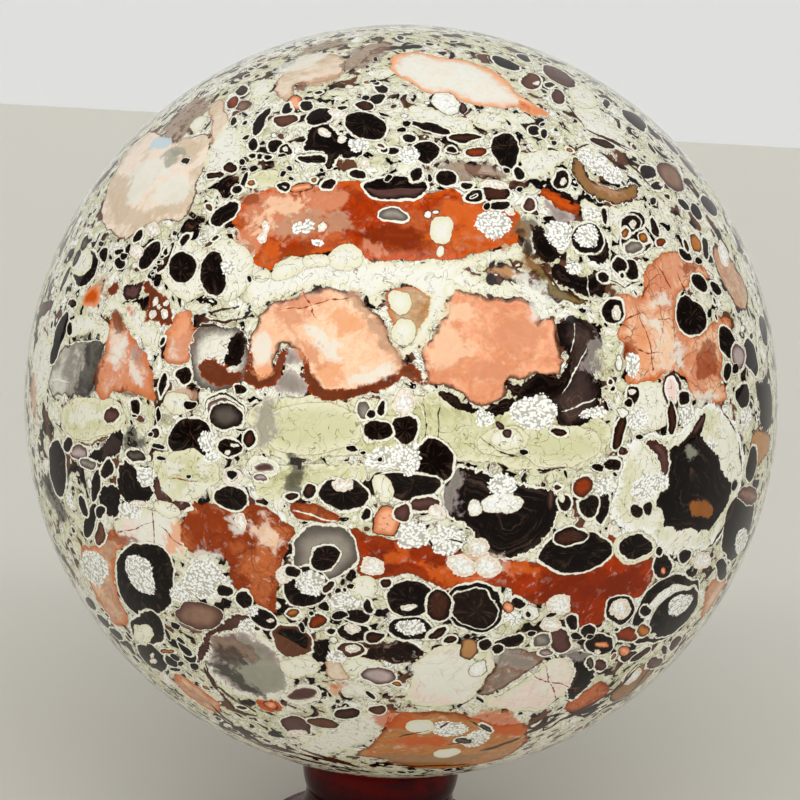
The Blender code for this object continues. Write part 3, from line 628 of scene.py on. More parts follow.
def tangents(normal):
    """Two unit directions along the stone's surface at a place on it."""
    helper = np.array((0.0, 0.0, 1.0)) if abs(normal[2]) < 0.9 else np.array((1.0, 0.0, 0.0))
    first = np.cross(helper, normal)
    first = first / np.linalg.norm(first)
    return first, np.cross(normal, first)


class Orb:
    """An ellipse on the stone: its middle and two half-axes, in millimetres from the stone's centre."""

    def __init__(self, look, centre, first, second):
        self.look = LOOKS[look]
        self.centre, self.first, self.second = centre, first, second
        self.half_sizes = np.linalg.norm(first), np.linalg.norm(second)
        self.across, self.along = first / self.half_sizes[0] ** 2, second / self.half_sizes[1] ** 2
        self.size = math.sqrt(self.half_sizes[0] * self.half_sizes[1])
        self.reach = max(self.half_sizes)

    def gap(self, points):
        """Roughly how far points lie outside the orb, in millimetres; inside it is below zero."""
        offset = points - self.centre
        u, v = offset @ self.across, offset @ self.along
        level = np.sqrt(u**2 + v**2) + 1e-5
        slope = np.hypot(u / self.half_sizes[0], v / self.half_sizes[1]) + 1e-6
        return level * (level - 1) / slope


# Half of the pixel over which a slope is measured, and how much longer than wide a foreshortened orb may be
HALF_STEP = 0.5
LONGEST = 3.6


def photo_orb(look, x, y, first, second=None, turn=0.0, longest=LONGEST):
    """An orb from its middle, half-sizes and turn in the photograph's pixels.

    With one half-size it is round.
    """
    second = first if second is None else second
    pixels = np.array((x, y)) - PHOTO_STONE
    reach = np.hypot(*pixels) / (PHOTO_RADIUS * LIMB)
    x, y = np.array(PHOTO_STONE) + pixels / max(reach, 1.0)
    slopes = np.stack((
        (stone_point(x + HALF_STEP, y) - stone_point(x - HALF_STEP, y)) / (2 * HALF_STEP),
        (stone_point(x, y + HALF_STEP) - stone_point(x, y - HALF_STEP)) / (2 * HALF_STEP),
    ), axis=1)
    angle = math.radians(turn)
    axes = np.array((
        (first * math.cos(angle), -second * math.sin(angle)),
        (first * math.sin(angle), second * math.cos(angle)),
    ))
    sides, sizes, _ = np.linalg.svd(slopes @ axes)
    sizes = sizes * STONE_MM
    sizes[0] = min(sizes[0], longest * sizes[1])
    centre = stone_point(x, y) * STONE_MM
    return Orb(look, centre, sides[:, 0] * sizes[0], sides[:, 1] * sizes[1])


def photo_line(look, start_x, start_y, end_x, end_y, width):
    """A narrow orb between two of the photograph's pixels."""
    turn = math.degrees(math.atan2(end_y - start_y, end_x - start_x))
    length = math.hypot(end_x - start_x, end_y - start_y)
    middle = ((start_x + end_x) / 2, (start_y + end_y) / 2)
    return photo_orb(look, *middle, length / 2, width / 2, turn, longest=FAR)


def front_orbs():
    orbs = [photo_orb(look, *place) for look, *places in ORBS for place in places]
    lines = [photo_line(look, *place) for look, *places in LINES for place in places]
    return orbs + lines


# How many times a patch's corners are cut, and how near to a corner as a share of each side
CORNER_CUTS = 2
CUT = 0.25


class Patch:
    """A patch of another stone, with its outline flattened on the plane that touches its middle."""

    def __init__(self, look, outline):
        self.look = look
        middle = np.mean(outline, axis=0)
        self.middle = middle / np.linalg.norm(middle)
        self.first, self.second = tangents(self.middle)
        self.corners = self.smoothed(self.flat(np.array(outline)), CORNER_CUTS)
        self.reach = np.linalg.norm(self.corners, axis=1).max()

    def flat(self, directions):
        """Places on the touching plane, in millimetres, with true distances from the middle."""
        cosine = np.clip(directions @ self.middle, -1, 1)
        angle = np.arccos(cosine)
        scale = STONE_MM * angle / np.maximum(np.sin(angle), 1e-6)
        return np.stack((directions @ self.first, directions @ self.second), axis=1) * scale[:, None]

    @staticmethod
    def smoothed(corners, rounds):
        """The outline with its corners cut, twice as many points each round."""
        for _ in range(rounds):
            after = np.roll(corners, -1, axis=0)
            near, far = corners * (1 - CUT) + after * CUT, corners * CUT + after * (1 - CUT)
            corners = np.stack((near, far), axis=1).reshape(-1, 2)
        return corners

    def gap(self, directions):
        """How far places lie outside the patch, in millimetres; inside it is below zero."""
        points = self.flat(directions)
        nearest = np.full(len(points), FAR)
        inside = np.zeros(len(points), bool)
        for start, end in zip(self.corners, np.roll(self.corners, -1, axis=0)):
            side, offset = end - start, points - start
            share = np.clip(offset @ side / (side @ side), 0, 1)
            nearest = np.minimum(nearest, np.linalg.norm(offset - share[:, None] * side, axis=1))
            spans = (start[1] > points[:, 1]) != (end[1] > points[:, 1])
            rise = np.where(spans, end[1] - start[1], 1.0)
            crossing = start[0] + (points[:, 1] - start[1]) * (end[0] - start[0]) / rise
            inside ^= spans & (points[:, 0] < crossing)
        return np.where(inside, -nearest, nearest)


def photo_patch(look, *outline):
    """A patch from the x and y of its corners in turn, in the photograph's pixels."""
    return Patch(look, [stone_point(x, y) for x, y in zip(outline[::2], outline[1::2])])


def random_directions(chance, count):
    directions = chance.normal(size=(count, 3))
    return directions / np.linalg.norm(directions, axis=1)[:, None]


# The patches that the photograph doesn't show: a look, how many, and the least and greatest radius in
# millimetres; then the places tried for each look, how far they keep from the front and from each other,
# and the uneven waves of their outlines
HIDDEN_PATCHES = (
    ("jasper", 5, 11, 19),
    ("rusty", 3, 9, 15),
    ("mossy", 9, 7, 14),
    ("blushing", 3, 8, 14),
    ("peachy", 4, 5, 9),
    ("shelly", 2, 6, 10),
    ("salmony", 3, 5, 9),
    ("terracotta", 4, 3, 6),
    ("misty", 5, 3, 6),
    ("dusky", 5, 3, 6),
)
PATCH_TRIES = 400
FRONT_REACH = 0.18
PATCH_SPACING = 0.75
PATCH_ROOM = 0.9
PATCH_CORNERS = 16
PATCH_STRETCH = (1.0, 1.7)
WAVES = (1, 2, 3, 5)
WAVE_SIZES = (0.08, 0.3)


def hidden_patches(chance):
    """Wavy-edged patches on the side of the stone that the photograph doesn't show."""
    patches, taken = [], []
    for look, count, least, most in HIDDEN_PATCHES:
        made = 0
        for direction in random_directions(chance, PATCH_TRIES):
            radius = chance.uniform(least, most)
            apart = [math.acos(np.clip(direction @ other, -1, 1)) * STONE_MM - size for other, size in taken]
            if made == count or direction @ BACK > FRONT_REACH - radius / STONE_MM:
                continue
            if apart and min(apart) < radius * PATCH_SPACING:
                continue
            taken.append((direction, radius * PATCH_ROOM))
            patches.append(Patch(look, wavy_outline(chance, direction, radius / STONE_MM)))
            made += 1
    return patches


def wavy_outline(chance, middle, radius):
    """A ring of places round a middle on the unit sphere, at uneven distances from it."""
    first, second = tangents(middle)
    stretch, lean = chance.uniform(*PATCH_STRETCH), chance.uniform(0, math.pi)
    waves = [
        (wave, chance.uniform(*WAVE_SIZES) / wave**0.5, chance.uniform(0, 2 * math.pi)) for wave in WAVES
    ]
    outline = []
    for corner in range(PATCH_CORNERS):
        angle = 2 * math.pi * corner / PATCH_CORNERS
        swell = 1 + sum(size * math.sin(wave * angle + phase) for wave, size, phase in waves)
        x = radius * swell * math.cos(angle) * stretch**0.5
        y = radius * swell * math.sin(angle) / stretch**0.5
        turned = (x * math.cos(lean) - y * math.sin(lean), x * math.sin(lean) + y * math.cos(lean))
        place = middle + first * turned[0] + second * turned[1]
        outline.append(place / np.linalg.norm(place))
    return outline


class OrbSize(NamedTuple):
    """One size of orb that fills the gaps, in millimetres, with how many are tried and their looks."""

    tries: int
    least: float
    most: float
    looks: list


FILLERS = (
    OrbSize(260, 3.2, 6.5, "jet jet mist smoke cream plum eye".split()),
    OrbSize(900, 1.7, 3.2, "jet jet jet bark plum cream crystal smoke eye rust".split()),
    OrbSize(2600, 0.9, 1.7, "jet jet jet bark cocoa plum cream frost pearl rust".split()),
    OrbSize(3000, 0.4, 0.9, "jet jet bark bark cocoa frost pearl amber cream".split()),
)
FILLER_STRETCH = (1.0, 1.9)

# Where the photograph's side begins, how large the orbs there may be and how many are left out
TRACED_REACH = 0.12
LIMB_REACH = 0.42
TRACED_LARGEST = 0.8
LIMB_GROWTH = 2.5
THINNED = 0.4

# The room between orbs in millimetres, and the share of an orb's faces that may be taken before
ROOM = 0.35
TRACED_ROOM = 0.1
TAKEN_SHARE = 0.12

# The pale kernels in orbs above a radius: how often, how far from the middle, and how small beside the orb
NODULES = ("crystal", "frost", "crystal", "mist")
NODULE_LEAST = 1.2
NODULE_CHANCE = 0.4
NODULE_OFFSETS = (-0.4, 0.4)
NODULE_SHRINKS = (0.3, 0.5)

# How fine the outlines' wandering is, in turns per millimetre
WANDER_SCALES = (0.17, 0.5)


class Faces:
    """The stone's faces: where they are, their corners, which are taken, and which lie near a place."""

    def __init__(self, corners):
        self.corners = corners
        self.centres = corners.mean(axis=1)
        self.spread = np.linalg.norm(corners - self.centres[:, None], axis=2).max(axis=1)
        self.taken = np.zeros(len(corners), bool)
        self.tree = KDTree(len(corners))
        for index, centre in enumerate(self.centres):
            self.tree.insert(centre, index)
        self.tree.balance()

    def near(self, place, reach):
        return np.array([index for _, index, _ in self.tree.find_range(place, reach)], int)


def wandered(points, sway, wobble, seed):
    """The places moved a little, so that what is laid out on them gets uneven outlines."""
    noise.seed_set(seed)
    moved = points.copy()
    for scale, size in zip(WANDER_SCALES, (sway, wobble)):
        moved += size * np.array([noise.noise_vector(Vector(point) * scale) for point in points])
    return moved


def take_room(faces, orb):
    """Marks the faces of an orb and of the narrow room round it as taken."""
    near = faces.near(orb.centre, orb.reach + TRACED_ROOM)
    faces.taken[near[orb.gap(faces.centres[near]) < TRACED_ROOM]] = True


def filler_orbs(chance, faces):
    """Orbs of falling size in the gaps that the marked ones and the calm patches leave."""
    orbs = []
    for size in FILLERS:
        radii = chance.uniform(size.least, size.most, size.tries)
        stretches = chance.uniform(*FILLER_STRETCH, size.tries)
        turns = chance.uniform(0, math.pi, size.tries)
        places = random_directions(chance, size.tries)
        for place, radius, stretch, turn in zip(places, radii, stretches, turns):
            look = size.looks[chance.integers(len(size.looks))]
            largest = TRACED_LARGEST + LIMB_GROWTH * max(LIMB_REACH - place @ BACK, 0)
            if place @ BACK > TRACED_REACH and (radius > largest or chance.random() < THINNED):
                continue
            first, second = tangents(place)
            long_way = first * math.cos(turn) + second * math.sin(turn)
            cross_way = second * math.cos(turn) - first * math.sin(turn)
            half_sizes = radius * stretch**0.5, radius / stretch**0.5
            orb = Orb(look, place * STONE_MM, long_way * half_sizes[0], cross_way * half_sizes[1])
            near = faces.near(orb.centre, orb.reach + ROOM)
            gap = orb.gap(faces.centres[near])
            inner = near[gap < ROOM / 2]
            if faces.taken[inner].sum() > TAKEN_SHARE * len(inner):
                continue
            faces.taken[inner] = True
            orbs.append(orb)
            if radius > NODULE_LEAST and chance.random() < NODULE_CHANCE:
                lengthways, sideways = chance.uniform(*NODULE_OFFSETS), chance.uniform(*NODULE_OFFSETS)
                centre = orb.centre + (long_way * lengthways + cross_way * sideways) * radius
                shrink = chance.uniform(*NODULE_SHRINKS)
                nodule = NODULES[chance.integers(len(NODULES))]
                orbs.append(Orb(nodule, centre, orb.first * shrink, orb.second * shrink))
    return orbs


# How far past its outline an orb may show, in millimetres, and in rim widths and blurs
MARGIN = 0.3
RIM_SPREAD = 1.6
BLUR_SPREAD = 2.0

# How far inside an orb nothing below it shows, in millimetres
COVER = 0.35


def fill_slots(faces, orbs):
    """For each face the orbs that may show on it, as row numbers in paint order; the last row means none."""
    count = len(faces.centres)
    gaps = np.full((count, SLOTS), FAR)
    rows = np.full((count, SLOTS), -1)
    hidden = np.zeros(count, bool)
    widest = faces.spread.max()
    for row in reversed(range(len(orbs))):
        orb = orbs[row]
        margin = abs(orb.look.rim_width) * RIM_SPREAD + orb.look.blur * BLUR_SPREAD + MARGIN
        near = faces.near(orb.centre, orb.reach + margin + widest)
        gap = orb.gap(faces.centres[near]) - faces.spread[near]
        shown = (gap < margin) & ~hidden[near]
        near, gap = near[shown], gap[shown]
        worst = gaps[near].argmax(axis=1)
        better = gap < gaps[near, worst]
        gaps[near[better], worst[better]] = gap[better]
        rows[near[better], worst[better]] = row
        hidden[near[gap < -COVER - orb.look.blur - 2 * faces.spread[near]]] = True
    return np.sort(rows, axis=1)


def set_attribute(mesh, name, domain, values):
    kind = "FLOAT" if values.ndim == 1 else "FLOAT_VECTOR"
    layer = mesh.attributes.new(name, kind, domain)
    layer.data.foreach_set("value" if kind == "FLOAT" else "vector", values.astype(np.float32).ravel())


# What the stone's material reads for each orb: colours, and numbers in threes
COLOURS = ("core", "edge")
NUMBERS = ("trim",)
NO_ORB = {"centre": (FAR, FAR, FAR), "across": (1, 0, 0), "along": (0, 1, 0), "size": (1, 1, 0), "texture": 0}


# The greatest share of an orb's size that the change from its edge to its core may take
DEPTH_SHARE = 0.8


def look_numbers(look, size):
    """What the material reads of one look: a depth below zero splits an orb in two halves."""
    depth = min(look.depth, size * DEPTH_SHARE) * (-1 if look.split else 1)
    trim = (look.rim_width, depth, look.ring)
    return {"core": PALETTE[look.core], "edge": PALETTE[look.edge], "trim": trim}


def texture_number(look):
    """Above zero how crystalline a look is, below zero how streaked."""
    return look.grain or -look.streaks


def orb_table(orbs):
    """The numbers of each orb, with a far-off one as the last row."""
    rows = {field: [] for field in ("centre", "across", "along", "texture", "size", *COLOURS, *NUMBERS)}
    for orb in orbs:
        numbers = look_numbers(orb.look, orb.size)
        numbers.update({"centre": orb.centre, "across": orb.across, "along": orb.along})
        numbers.update({"texture": texture_number(orb.look), "size": (*orb.half_sizes, orb.look.blur)})
        for field, values in numbers.items():
            rows[field].append(values)
    for field in rows:
        rows[field].append(NO_ORB.get(field, (0, 0, 0)))
    return {field: np.array(values, float) for field, values in rows.items()}


def mark_orbs(mesh, faces, orbs):
    orbs = sorted(orbs, key=lambda orb: (orb.look.level, -orb.size))
    rows = fill_slots(faces, orbs)
    table = orb_table(orbs)
    for slot in range(SLOTS):
        chosen = rows[:, slot]
        offset = faces.corners - table["centre"][chosen][:, None]
        u = (offset * table["across"][chosen][:, None]).sum(axis=2)
        v = (offset * table["along"][chosen][:, None]).sum(axis=2)
        texture = np.repeat(table["texture"][chosen][:, None], 4, axis=1)
        set_attribute(mesh, f"orb{slot}_spot", "CORNER", np.stack((u, v, texture), axis=2).reshape(-1, 3))
        for field in ("size", *COLOURS, *NUMBERS):
            set_attribute(mesh, f"orb{slot}_{field}", "FACE", table[field][chosen])


PATCH_COLOURS = ("core", "edge", "tone")
PATCH_LAYERS = 2

# How far round a patch its distance is worked out, as an angle, and how far inside it no orb fills a gap
PATCH_MARGIN = 0.08
PATCH_INSIDE = -0.3


def mark_layer(mesh, faces, points, members, name, table):
    """The distance to the nearest of a layer's patches at the points, and its numbers on the faces."""
    outside = np.full(len(points), FAR)
    face_outside = np.full(len(faces.centres), FAR)
    face_points = faces.centres / np.linalg.norm(faces.centres, axis=1)[:, None]
    rows = np.zeros(len(faces.centres), int)
    for row, patch in enumerate(members):
        reach = min(patch.reach / STONE_MM + PATCH_MARGIN, math.pi)
        for places, least in ((points, outside), (face_points, face_outside)):
            near = np.flatnonzero(places @ patch.middle > math.cos(reach))
            gap = patch.gap(places[near])
            closer = gap < least[near]
            least[near[closer]] = gap[closer]
            if least is face_outside:
                rows[near[closer]] = row
    set_attribute(mesh, f"{name}_distance", "POINT", outside)
    for field, values in table.items():
        set_attribute(mesh, f"{name}_{field}", "FACE", np.array(values, float)[rows])
    faces.taken |= face_outside < PATCH_INSIDE


def mark_patches(mesh, faces, points, patches):
    for layer in range(PATCH_LAYERS):
        members = [patch for patch in patches if PATCH_LOOKS[patch.look].layer == layer]
        looks = [PATCH_LOOKS[patch.look] for patch in members]
        table = {field: [PALETTE[getattr(look, field)] for look in looks] for field in PATCH_COLOURS}
        table["style"] = [(look.edge_width, look.crackle, look.mottle) for look in looks]
        mark_layer(mesh, faces, points, members, f"patch{layer}", table)


def mark_shapes(mesh, faces, points):
    for layer, outlines in enumerate(SHAPE_LAYERS):
        members = [photo_patch(*outline) for outline in outlines]
        looks = [LOOKS[member.look] for member in members]
        rows = [look_numbers(look, STONE_MM) for look in looks]
        table = {field: [row[field] for row in rows] for field in COLOURS + NUMBERS}
        table["finish"] = [(texture_number(look), look.blur, 0) for look in looks]
        mark_layer(mesh, faces, points, members, f"shape{layer}", table)


class Wire:
    """A node's socket that can stand in a sum: its operators add Math or Vector Math nodes."""

    def __init__(self, graph, socket):
        self.graph, self.socket = graph, socket

    def _sum(self, operation, left, right):
        vector = [side for side in (left, right) if self._is_vector(side)]
        numbers = [side for side in (left, right) if not self._is_vector(side)]
        if operation == "MULTIPLY" and vector and numbers:
            values = {"Vector": vector[0], "Scale": numbers[0]}
            return self.graph.add("ShaderNodeVectorMath", {"operation": "SCALE"}, values)
        kind = "ShaderNodeVectorMath" if vector else "ShaderNodeMath"
        return self.graph.add(kind, {"operation": operation}, {0: left, 1: right})

    @staticmethod
    def _is_vector(side):
        return side.socket.type in {"VECTOR", "RGBA"} if isinstance(side, Wire) else isinstance(side, tuple)

    def __add__(self, other):
        return self._sum("ADD", self, other)

    def __radd__(self, other):
        return self._sum("ADD", other, self)

    def __sub__(self, other):
        return self._sum("SUBTRACT", self, other)

    def __rsub__(self, other):
        return self._sum("SUBTRACT", other, self)

    def __mul__(self, other):
        return self._sum("MULTIPLY", self, other)

    def __rmul__(self, other):
        return self._sum("MULTIPLY", other, self)

    def __truediv__(self, other):
        return self._sum("DIVIDE", self, other)

    def __rtruediv__(self, other):
        return self._sum("DIVIDE", other, self)

    def __neg__(self):
        return self * -1.0

    def dot(self, other):
        settings = {"operation": "DOT_PRODUCT"}
        return self.graph.add("ShaderNodeVectorMath", settings, {0: self, 1: other}, "Value")

    def root(self):
        return self.graph.add("ShaderNodeMath", {"operation": "SQRT"}, {0: self})

    def size(self):
        return self.graph.add("ShaderNodeMath", {"operation": "ABSOLUTE"}, {0: self})


class Graph:
    """Adds nodes to a tree. Values may be numbers, vectors, colours, names of the palette or wires."""

    def __init__(self, tree):
        self.tree = tree

    def add(self, kind, settings=None, values=None, output=0):
        node = self.tree.nodes.new(kind)
        for name, setting in (settings or {}).items():
            setattr(node, name, setting)
        self.feed(node, values or {})
        return Wire(self, node.outputs[output]) if len(node.outputs) else node

    def feed(self, node, values):
        """Links or sets a node's inputs."""
        for key, value in values.items():
            socket = node.inputs[key]
            if isinstance(value, Wire):
                self.tree.links.new(value.socket, socket)
            elif socket.type in {"VECTOR", "RGBA"}:
                value = PALETTE[value] if isinstance(value, str) else value
                value = [value] * 3 if isinstance(value, (int, float)) else list(value)
                size = len(socket.default_value)
                socket.default_value = value[:size] + [1.0] * (size - len(value))
            else:
                socket.default_value = value

    def step(self, value, start, end, low=0.0, high=1.0):
        """A smooth rise from low at start to high at end."""
        values = {0: value, 1: start, 2: end, 3: low, 4: high}
        return self.add("ShaderNodeMapRange", {"interpolation_type": "SMOOTHSTEP"}, values)

    def greatest(self, first, second):
        return self.add("ShaderNodeMath", {"operation": "MAXIMUM"}, {0: first, 1: second})

    def above_zero(self, value):
        return self.greatest(value, 0.0)

    def mix(self, share, first, second, blend="MIX"):
        """A colour between two others."""
        settings = {"data_type": "RGBA", "blend_type": blend}
        return self.add("ShaderNodeMix", settings, {0: share, 6: first, 7: second}, 2)

    def noise(self, place, scale, detail=2.0, roughness=0.5, output="Fac", warp=0.0):
        values = {"Vector": place, "Scale": scale, "Detail": detail, "Roughness": roughness}
        values["Distortion"] = warp
        return self.add("ShaderNodeTexNoise", {"noise_dimensions": "3D"}, values, output)

    def cracks(self, place, scale):
        """How far a place is from the nearest cell wall."""
        settings = {"voronoi_dimensions": "3D", "feature": "DISTANCE_TO_EDGE"}
        values = {"Vector": place, "Scale": scale}
        return self.add("ShaderNodeTexVoronoi", settings, values, "Distance") / scale

    def attribute(self, name, output="Vector"):
        return self.add("ShaderNodeAttribute", {"attribute_name": name}, None, output)

    def parts(self, vector):
        """The three numbers of a vector."""
        node = self.add("ShaderNodeSeparateXYZ", None, {0: vector}).socket.node
        return [Wire(self, output) for output in node.outputs]

    def group(self, tree, values):
        """The wires of a node group's outputs, by name."""
        node = self.add("ShaderNodeGroup", {"node_tree": tree}, values).socket.node
        return {output.name: Wire(self, output) for output in node.outputs}


def new_group(name, kind, inputs, outputs):
    """An empty node group with named sockets, and the wires of its inputs."""
    tree = bpy.data.node_groups.new(name, kind)
    for socket_name, socket_kind in inputs.items():
        tree.interface.new_socket(socket_name, in_out="INPUT", socket_type=socket_kind)
    for socket_name, socket_kind in outputs.items():
        tree.interface.new_socket(socket_name, in_out="OUTPUT", socket_type=socket_kind)
    graph = Graph(tree)
    entry = tree.nodes.new("NodeGroupInput")
    wires = {output.name: Wire(graph, output) for output in entry.outputs if output.name in inputs}
    return tree, graph, wires


# How soft an outline is in millimetres, a number that keeps sums above zero, and what each group hands on
SOFT = 0.05
TINY = 1e-6
CARRIED = {
    "Colour": "NodeSocketColor",
    "Grit": "NodeSocketFloat",
    "Cover": "NodeSocketFloat",
    "Ray": "NodeSocketColor",
    "Push": "NodeSocketFloat",
}


def paint_group(name, extra):
    """A node group that paints over what it is given, with its graph and wires.

    Push carries on where the rim below is, so that outlines make way for each other.
    """
    inputs = dict(CARRIED)
    inputs.update({name: "NodeSocketFloat" for name in ("Lump", "Hair", "Tremble", "Speck")})
    inputs.update({field.title(): "NodeSocketColor" for field in COLOURS})
    inputs.update({field.title(): "NodeSocketVector" for field in NUMBERS})
    inputs.update(extra)
    return new_group(name, "ShaderNodeTree", inputs, CARRIED)


def waiting_parts(graph, wires, name):
    """A vector's numbers, which wait for the layer below, as the material's working memory is small."""
    return [part + wires["Push"] * TINY for part in graph.parts(wires[name])]


def paint_body(graph, wires, gap, v, blur, texture, direction):
    """Paints a rim and a body where the gap to an outline says, and ends the group."""
    rim_width, depth, ring = waiting_parts(graph, wires, "Trim")
    grain, streaks = graph.above_zero(texture), graph.above_zero(-texture)
    shade = graph.step(rim_width, -0.01, 0.01)
    whole = graph.step(depth, -0.01, 0.01)
    rim_width, depth = rim_width.size(), depth.size()
    gap = gap + wires["Tremble"] + wires["Push"] * 0.06 + (wires["Lump"] - 0.35) * grain * 0.6

    gap = gap + blur * ((wires["Hair"] - 0.5) * 5.0 + (wires["Speck"] - 0.5) * 3.0)
    softness = blur * 0.7 + SOFT
    inside = graph.step(gap, softness, -1.0 * softness) * graph.step(blur, 0.2, 0.6, 1.0, 0.75)
    width = rim_width * (0.35 + wires["Hair"] * 1.3)
    rim = graph.step(gap, width + SOFT, width - SOFT) * graph.step(rim_width, 0.0, 0.02)
    hair = graph.step((gap - width - 0.08).size(), 0.09, 0.02) * graph.step(rim_width, 0.02, 0.06)
    hair = hair * graph.step(wires["Speck"], 0.45, 0.6) * 0.8

    deep = graph.step(gap, 0.0, -1.0 * depth - 0.01)
    lower = graph.greatest(graph.step(v, -0.04, 0.04), whole)
    body = graph.mix(deep * lower, wires["Edge"], wires["Core"])
    circle = graph.step((gap + ring).size(), 0.17, 0.06) * graph.step(ring, 0.0, 0.05)
    body = graph.mix(circle, body, "cream")

    colour = graph.mix(hair, wires["Colour"], "umber")
    colour = graph.mix(rim, colour, graph.mix(shade, "umber", "cream"))
    colour = graph.mix(inside, colour, body)
    rest = 1.0 - inside
    painted = {
        "Colour": colour,
        "Grit": wires["Grit"] * rest + inside * grain,
        "Cover": wires["Cover"] * rest + inside * streaks,
        "Ray": graph.mix(inside, wires["Ray"], direction),
        "Push": rim,
    }
    graph.add("NodeGroupOutput", None, painted)


# How far streaks fan out round an orb, and how much they change towards its core or along a shape's edge
RAY_FAN = 2.2
RAY_DEPTH = 0.35
EDGE_DEPTH = 1.2


def orb_group():
    """The node group that paints one orb, whose u and v are its place along its half-axes."""
    tree, graph, wires = paint_group("Orb", {"Spot": "NodeSocketVector", "Size": "NodeSocketVector"})
    first, second, blur = waiting_parts(graph, wires, "Size")
    u, v, texture = waiting_parts(graph, wires, "Spot")
    level = (u * u + v * v + TINY).root()
    slope = (u * u / (first * first) + v * v / (second * second) + TINY * 0.01).root()
    gap = level * (level - 1.0) / slope
    parts = {0: u / level * RAY_FAN, 1: v / level * RAY_FAN, 2: gap * RAY_DEPTH}
    direction = graph.add("ShaderNodeCombineColor", None, parts)
    paint_body(graph, wires, gap, v, blur, texture, direction)
    return tree


def shape_group():
    """The node group that paints one layer of traced shapes, from the distance to their outlines."""
    tree, graph, wires = paint_group("Shape", {"Distance": "NodeSocketFloat", "Finish": "NodeSocketVector"})
    texture, blur, _ = waiting_parts(graph, wires, "Finish")
    gap = wires["Distance"] + wires["Tremble"] * 2.0
    direction = graph.add("ShaderNodeCombineColor", None, {0: gap * EDGE_DEPTH, 1: 0.0, 2: 0.0})
    paint_body(graph, wires, gap, 0.0, blur, texture, direction)
    return tree


def patch_group():
    """The node group that paints one layer of patches over the colour below it."""
    vector, colour, number = "NodeSocketVector", "NodeSocketColor", "NodeSocketFloat"
    inputs = {"Below": colour, "Gap": number, "Style": vector, "Ragged": number}
    inputs.update({field.title(): colour for field in PATCH_COLOURS})
    inputs.update({"Veins": number, "Cells": number, "Clouds": vector})
    tree, graph, wires = new_group("Patch", "ShaderNodeTree", inputs, {"Colour": colour, "Veins": number})

    edge_width, crackle, mottle = graph.parts(wires["Style"])
    gap = wires["Gap"] + (wires["Ragged"] - 0.5) * 2.2
    inside = graph.step(gap, SOFT, -SOFT)
    blobs, flecks, grain = graph.parts(wires["Clouds"])
    deep = graph.step(gap, -0.05, -0.1 - edge_width * (grain * 3.4 - 0.8))
    body = graph.mix(blobs * mottle, wires["Core"], wires["Tone"])
    body = graph.mix(flecks * mottle * 0.4, body, "shell")
    body = graph.mix(deep, wires["Edge"], body)
    body = graph.mix(0.85, body, graph.mix(grain, (0.12, 0.11, 0.10), (0.90, 0.90, 0.90)), "OVERLAY")
    lines = wires["Cells"] * graph.above_zero(crackle)
    body = graph.mix(lines * 0.75, body, "mahogany")
    outline = graph.step(gap.size(), 0.14, 0.04) * graph.step(wires["Ragged"], 0.42, 0.56)
    colour = graph.mix(inside, wires["Below"], body)
    colour = graph.mix(outline * 0.6, colour, "umber")
    veins = wires["Veins"] * (1.0 - inside) + inside * graph.step(crackle, 0.0, -0.5)
    graph.add("NodeGroupOutput", None, {"Colour": colour, "Veins": veins})
    return tree


def thin_lines(graph, place, scale, width, detail=3.0):
    """Wandering lines where a noise passes its middle value."""
    return graph.step((graph.noise(place, scale, detail) - 0.5).size(), width, width * 0.25)


def cell_lines(graph, place):
    """The walls of wide and narrow cells, where a noise leaves them."""
    wide = graph.step(graph.cracks(place, 0.21), 0.12, 0.02)
    fine = graph.step(graph.cracks(place, 0.42), 0.08, 0.02) * 0.7
    broken = graph.step(graph.noise(place, 0.4, 3.0), 0.38, 0.50)
    return graph.greatest(wide, fine) * broken


def clouds(graph, place):
    """Broad clouds, flecks and a fine grain, as one vector."""
    blobs = graph.step(graph.noise(place, 0.16, 5.0, 0.6), 0.42, 0.60)
    flecks = graph.step(graph.noise(place, 0.55, 4.0, 0.65), 0.56, 0.66)
    grain = graph.noise(place, 0.9, 5.0, 0.7)
    return graph.add("ShaderNodeCombineXYZ", None, {0: blobs, 1: flecks, 2: grain})


def clouded(graph, place, colour, other, share, scale, start, end, detail=3.0, roughness=0.5):
    """A colour under clouds of another, which thicken as a noise rises from start to end."""
    cloud = graph.step(graph.noise(place, scale, detail, roughness), start, end)
    return graph.mix(cloud * share, colour, other)


# The ground's dark blots: a noise's scale, its value where they begin, and their outline's width in it
BLOTS = ((0.25, 0.60, 0.015), (0.62, 0.61, 0.025))


def matrix_colour(graph, place, cells):
    """The pale ground between the orbs: cream and green, with veins and dark blots."""
    colour = clouded(graph, place, "cream", "moss", 0.6, 0.09, 0.42, 0.62)
    colour = clouded(graph, place, colour, "fern", 0.5, 0.7, 0.46, 0.66, 4.0, 0.6)
    colour = clouded(graph, place, colour, "snow", 0.8, 0.5, 0.52, 0.64)
    broken = graph.step(graph.noise(place, 0.5, 2.0), 0.44, 0.58)
    colour = graph.mix(thin_lines(graph, place, 0.34, 0.010) * broken * 0.8, colour, "olive")
    colour = graph.mix(cells * 0.5, colour, "olive")
    colour = clouded(graph, place, colour, "honey", 0.5, 0.3, 0.62, 0.72, 5.0, 0.7)

    tint = graph.step(graph.noise(place, 0.22, 3.0), 0.50, 0.62)
    dark = graph.mix(tint, "jet", "cocoa")
    for scale, start, outline in BLOTS:
        blot = graph.noise(place, scale, 2.0, 0.4)
        shore = graph.step((blot - start + outline * 1.6).size(), outline * 0.5, outline * 0.1)
        colour = graph.mix(shore * 0.7, colour, "cocoa")
        colour = graph.mix(graph.step(blot, start - 0.01, start + 0.01), colour, dark)
        colour = graph.mix(graph.step(blot, start + 0.13, start + 0.15), colour, "cream")
    return colour


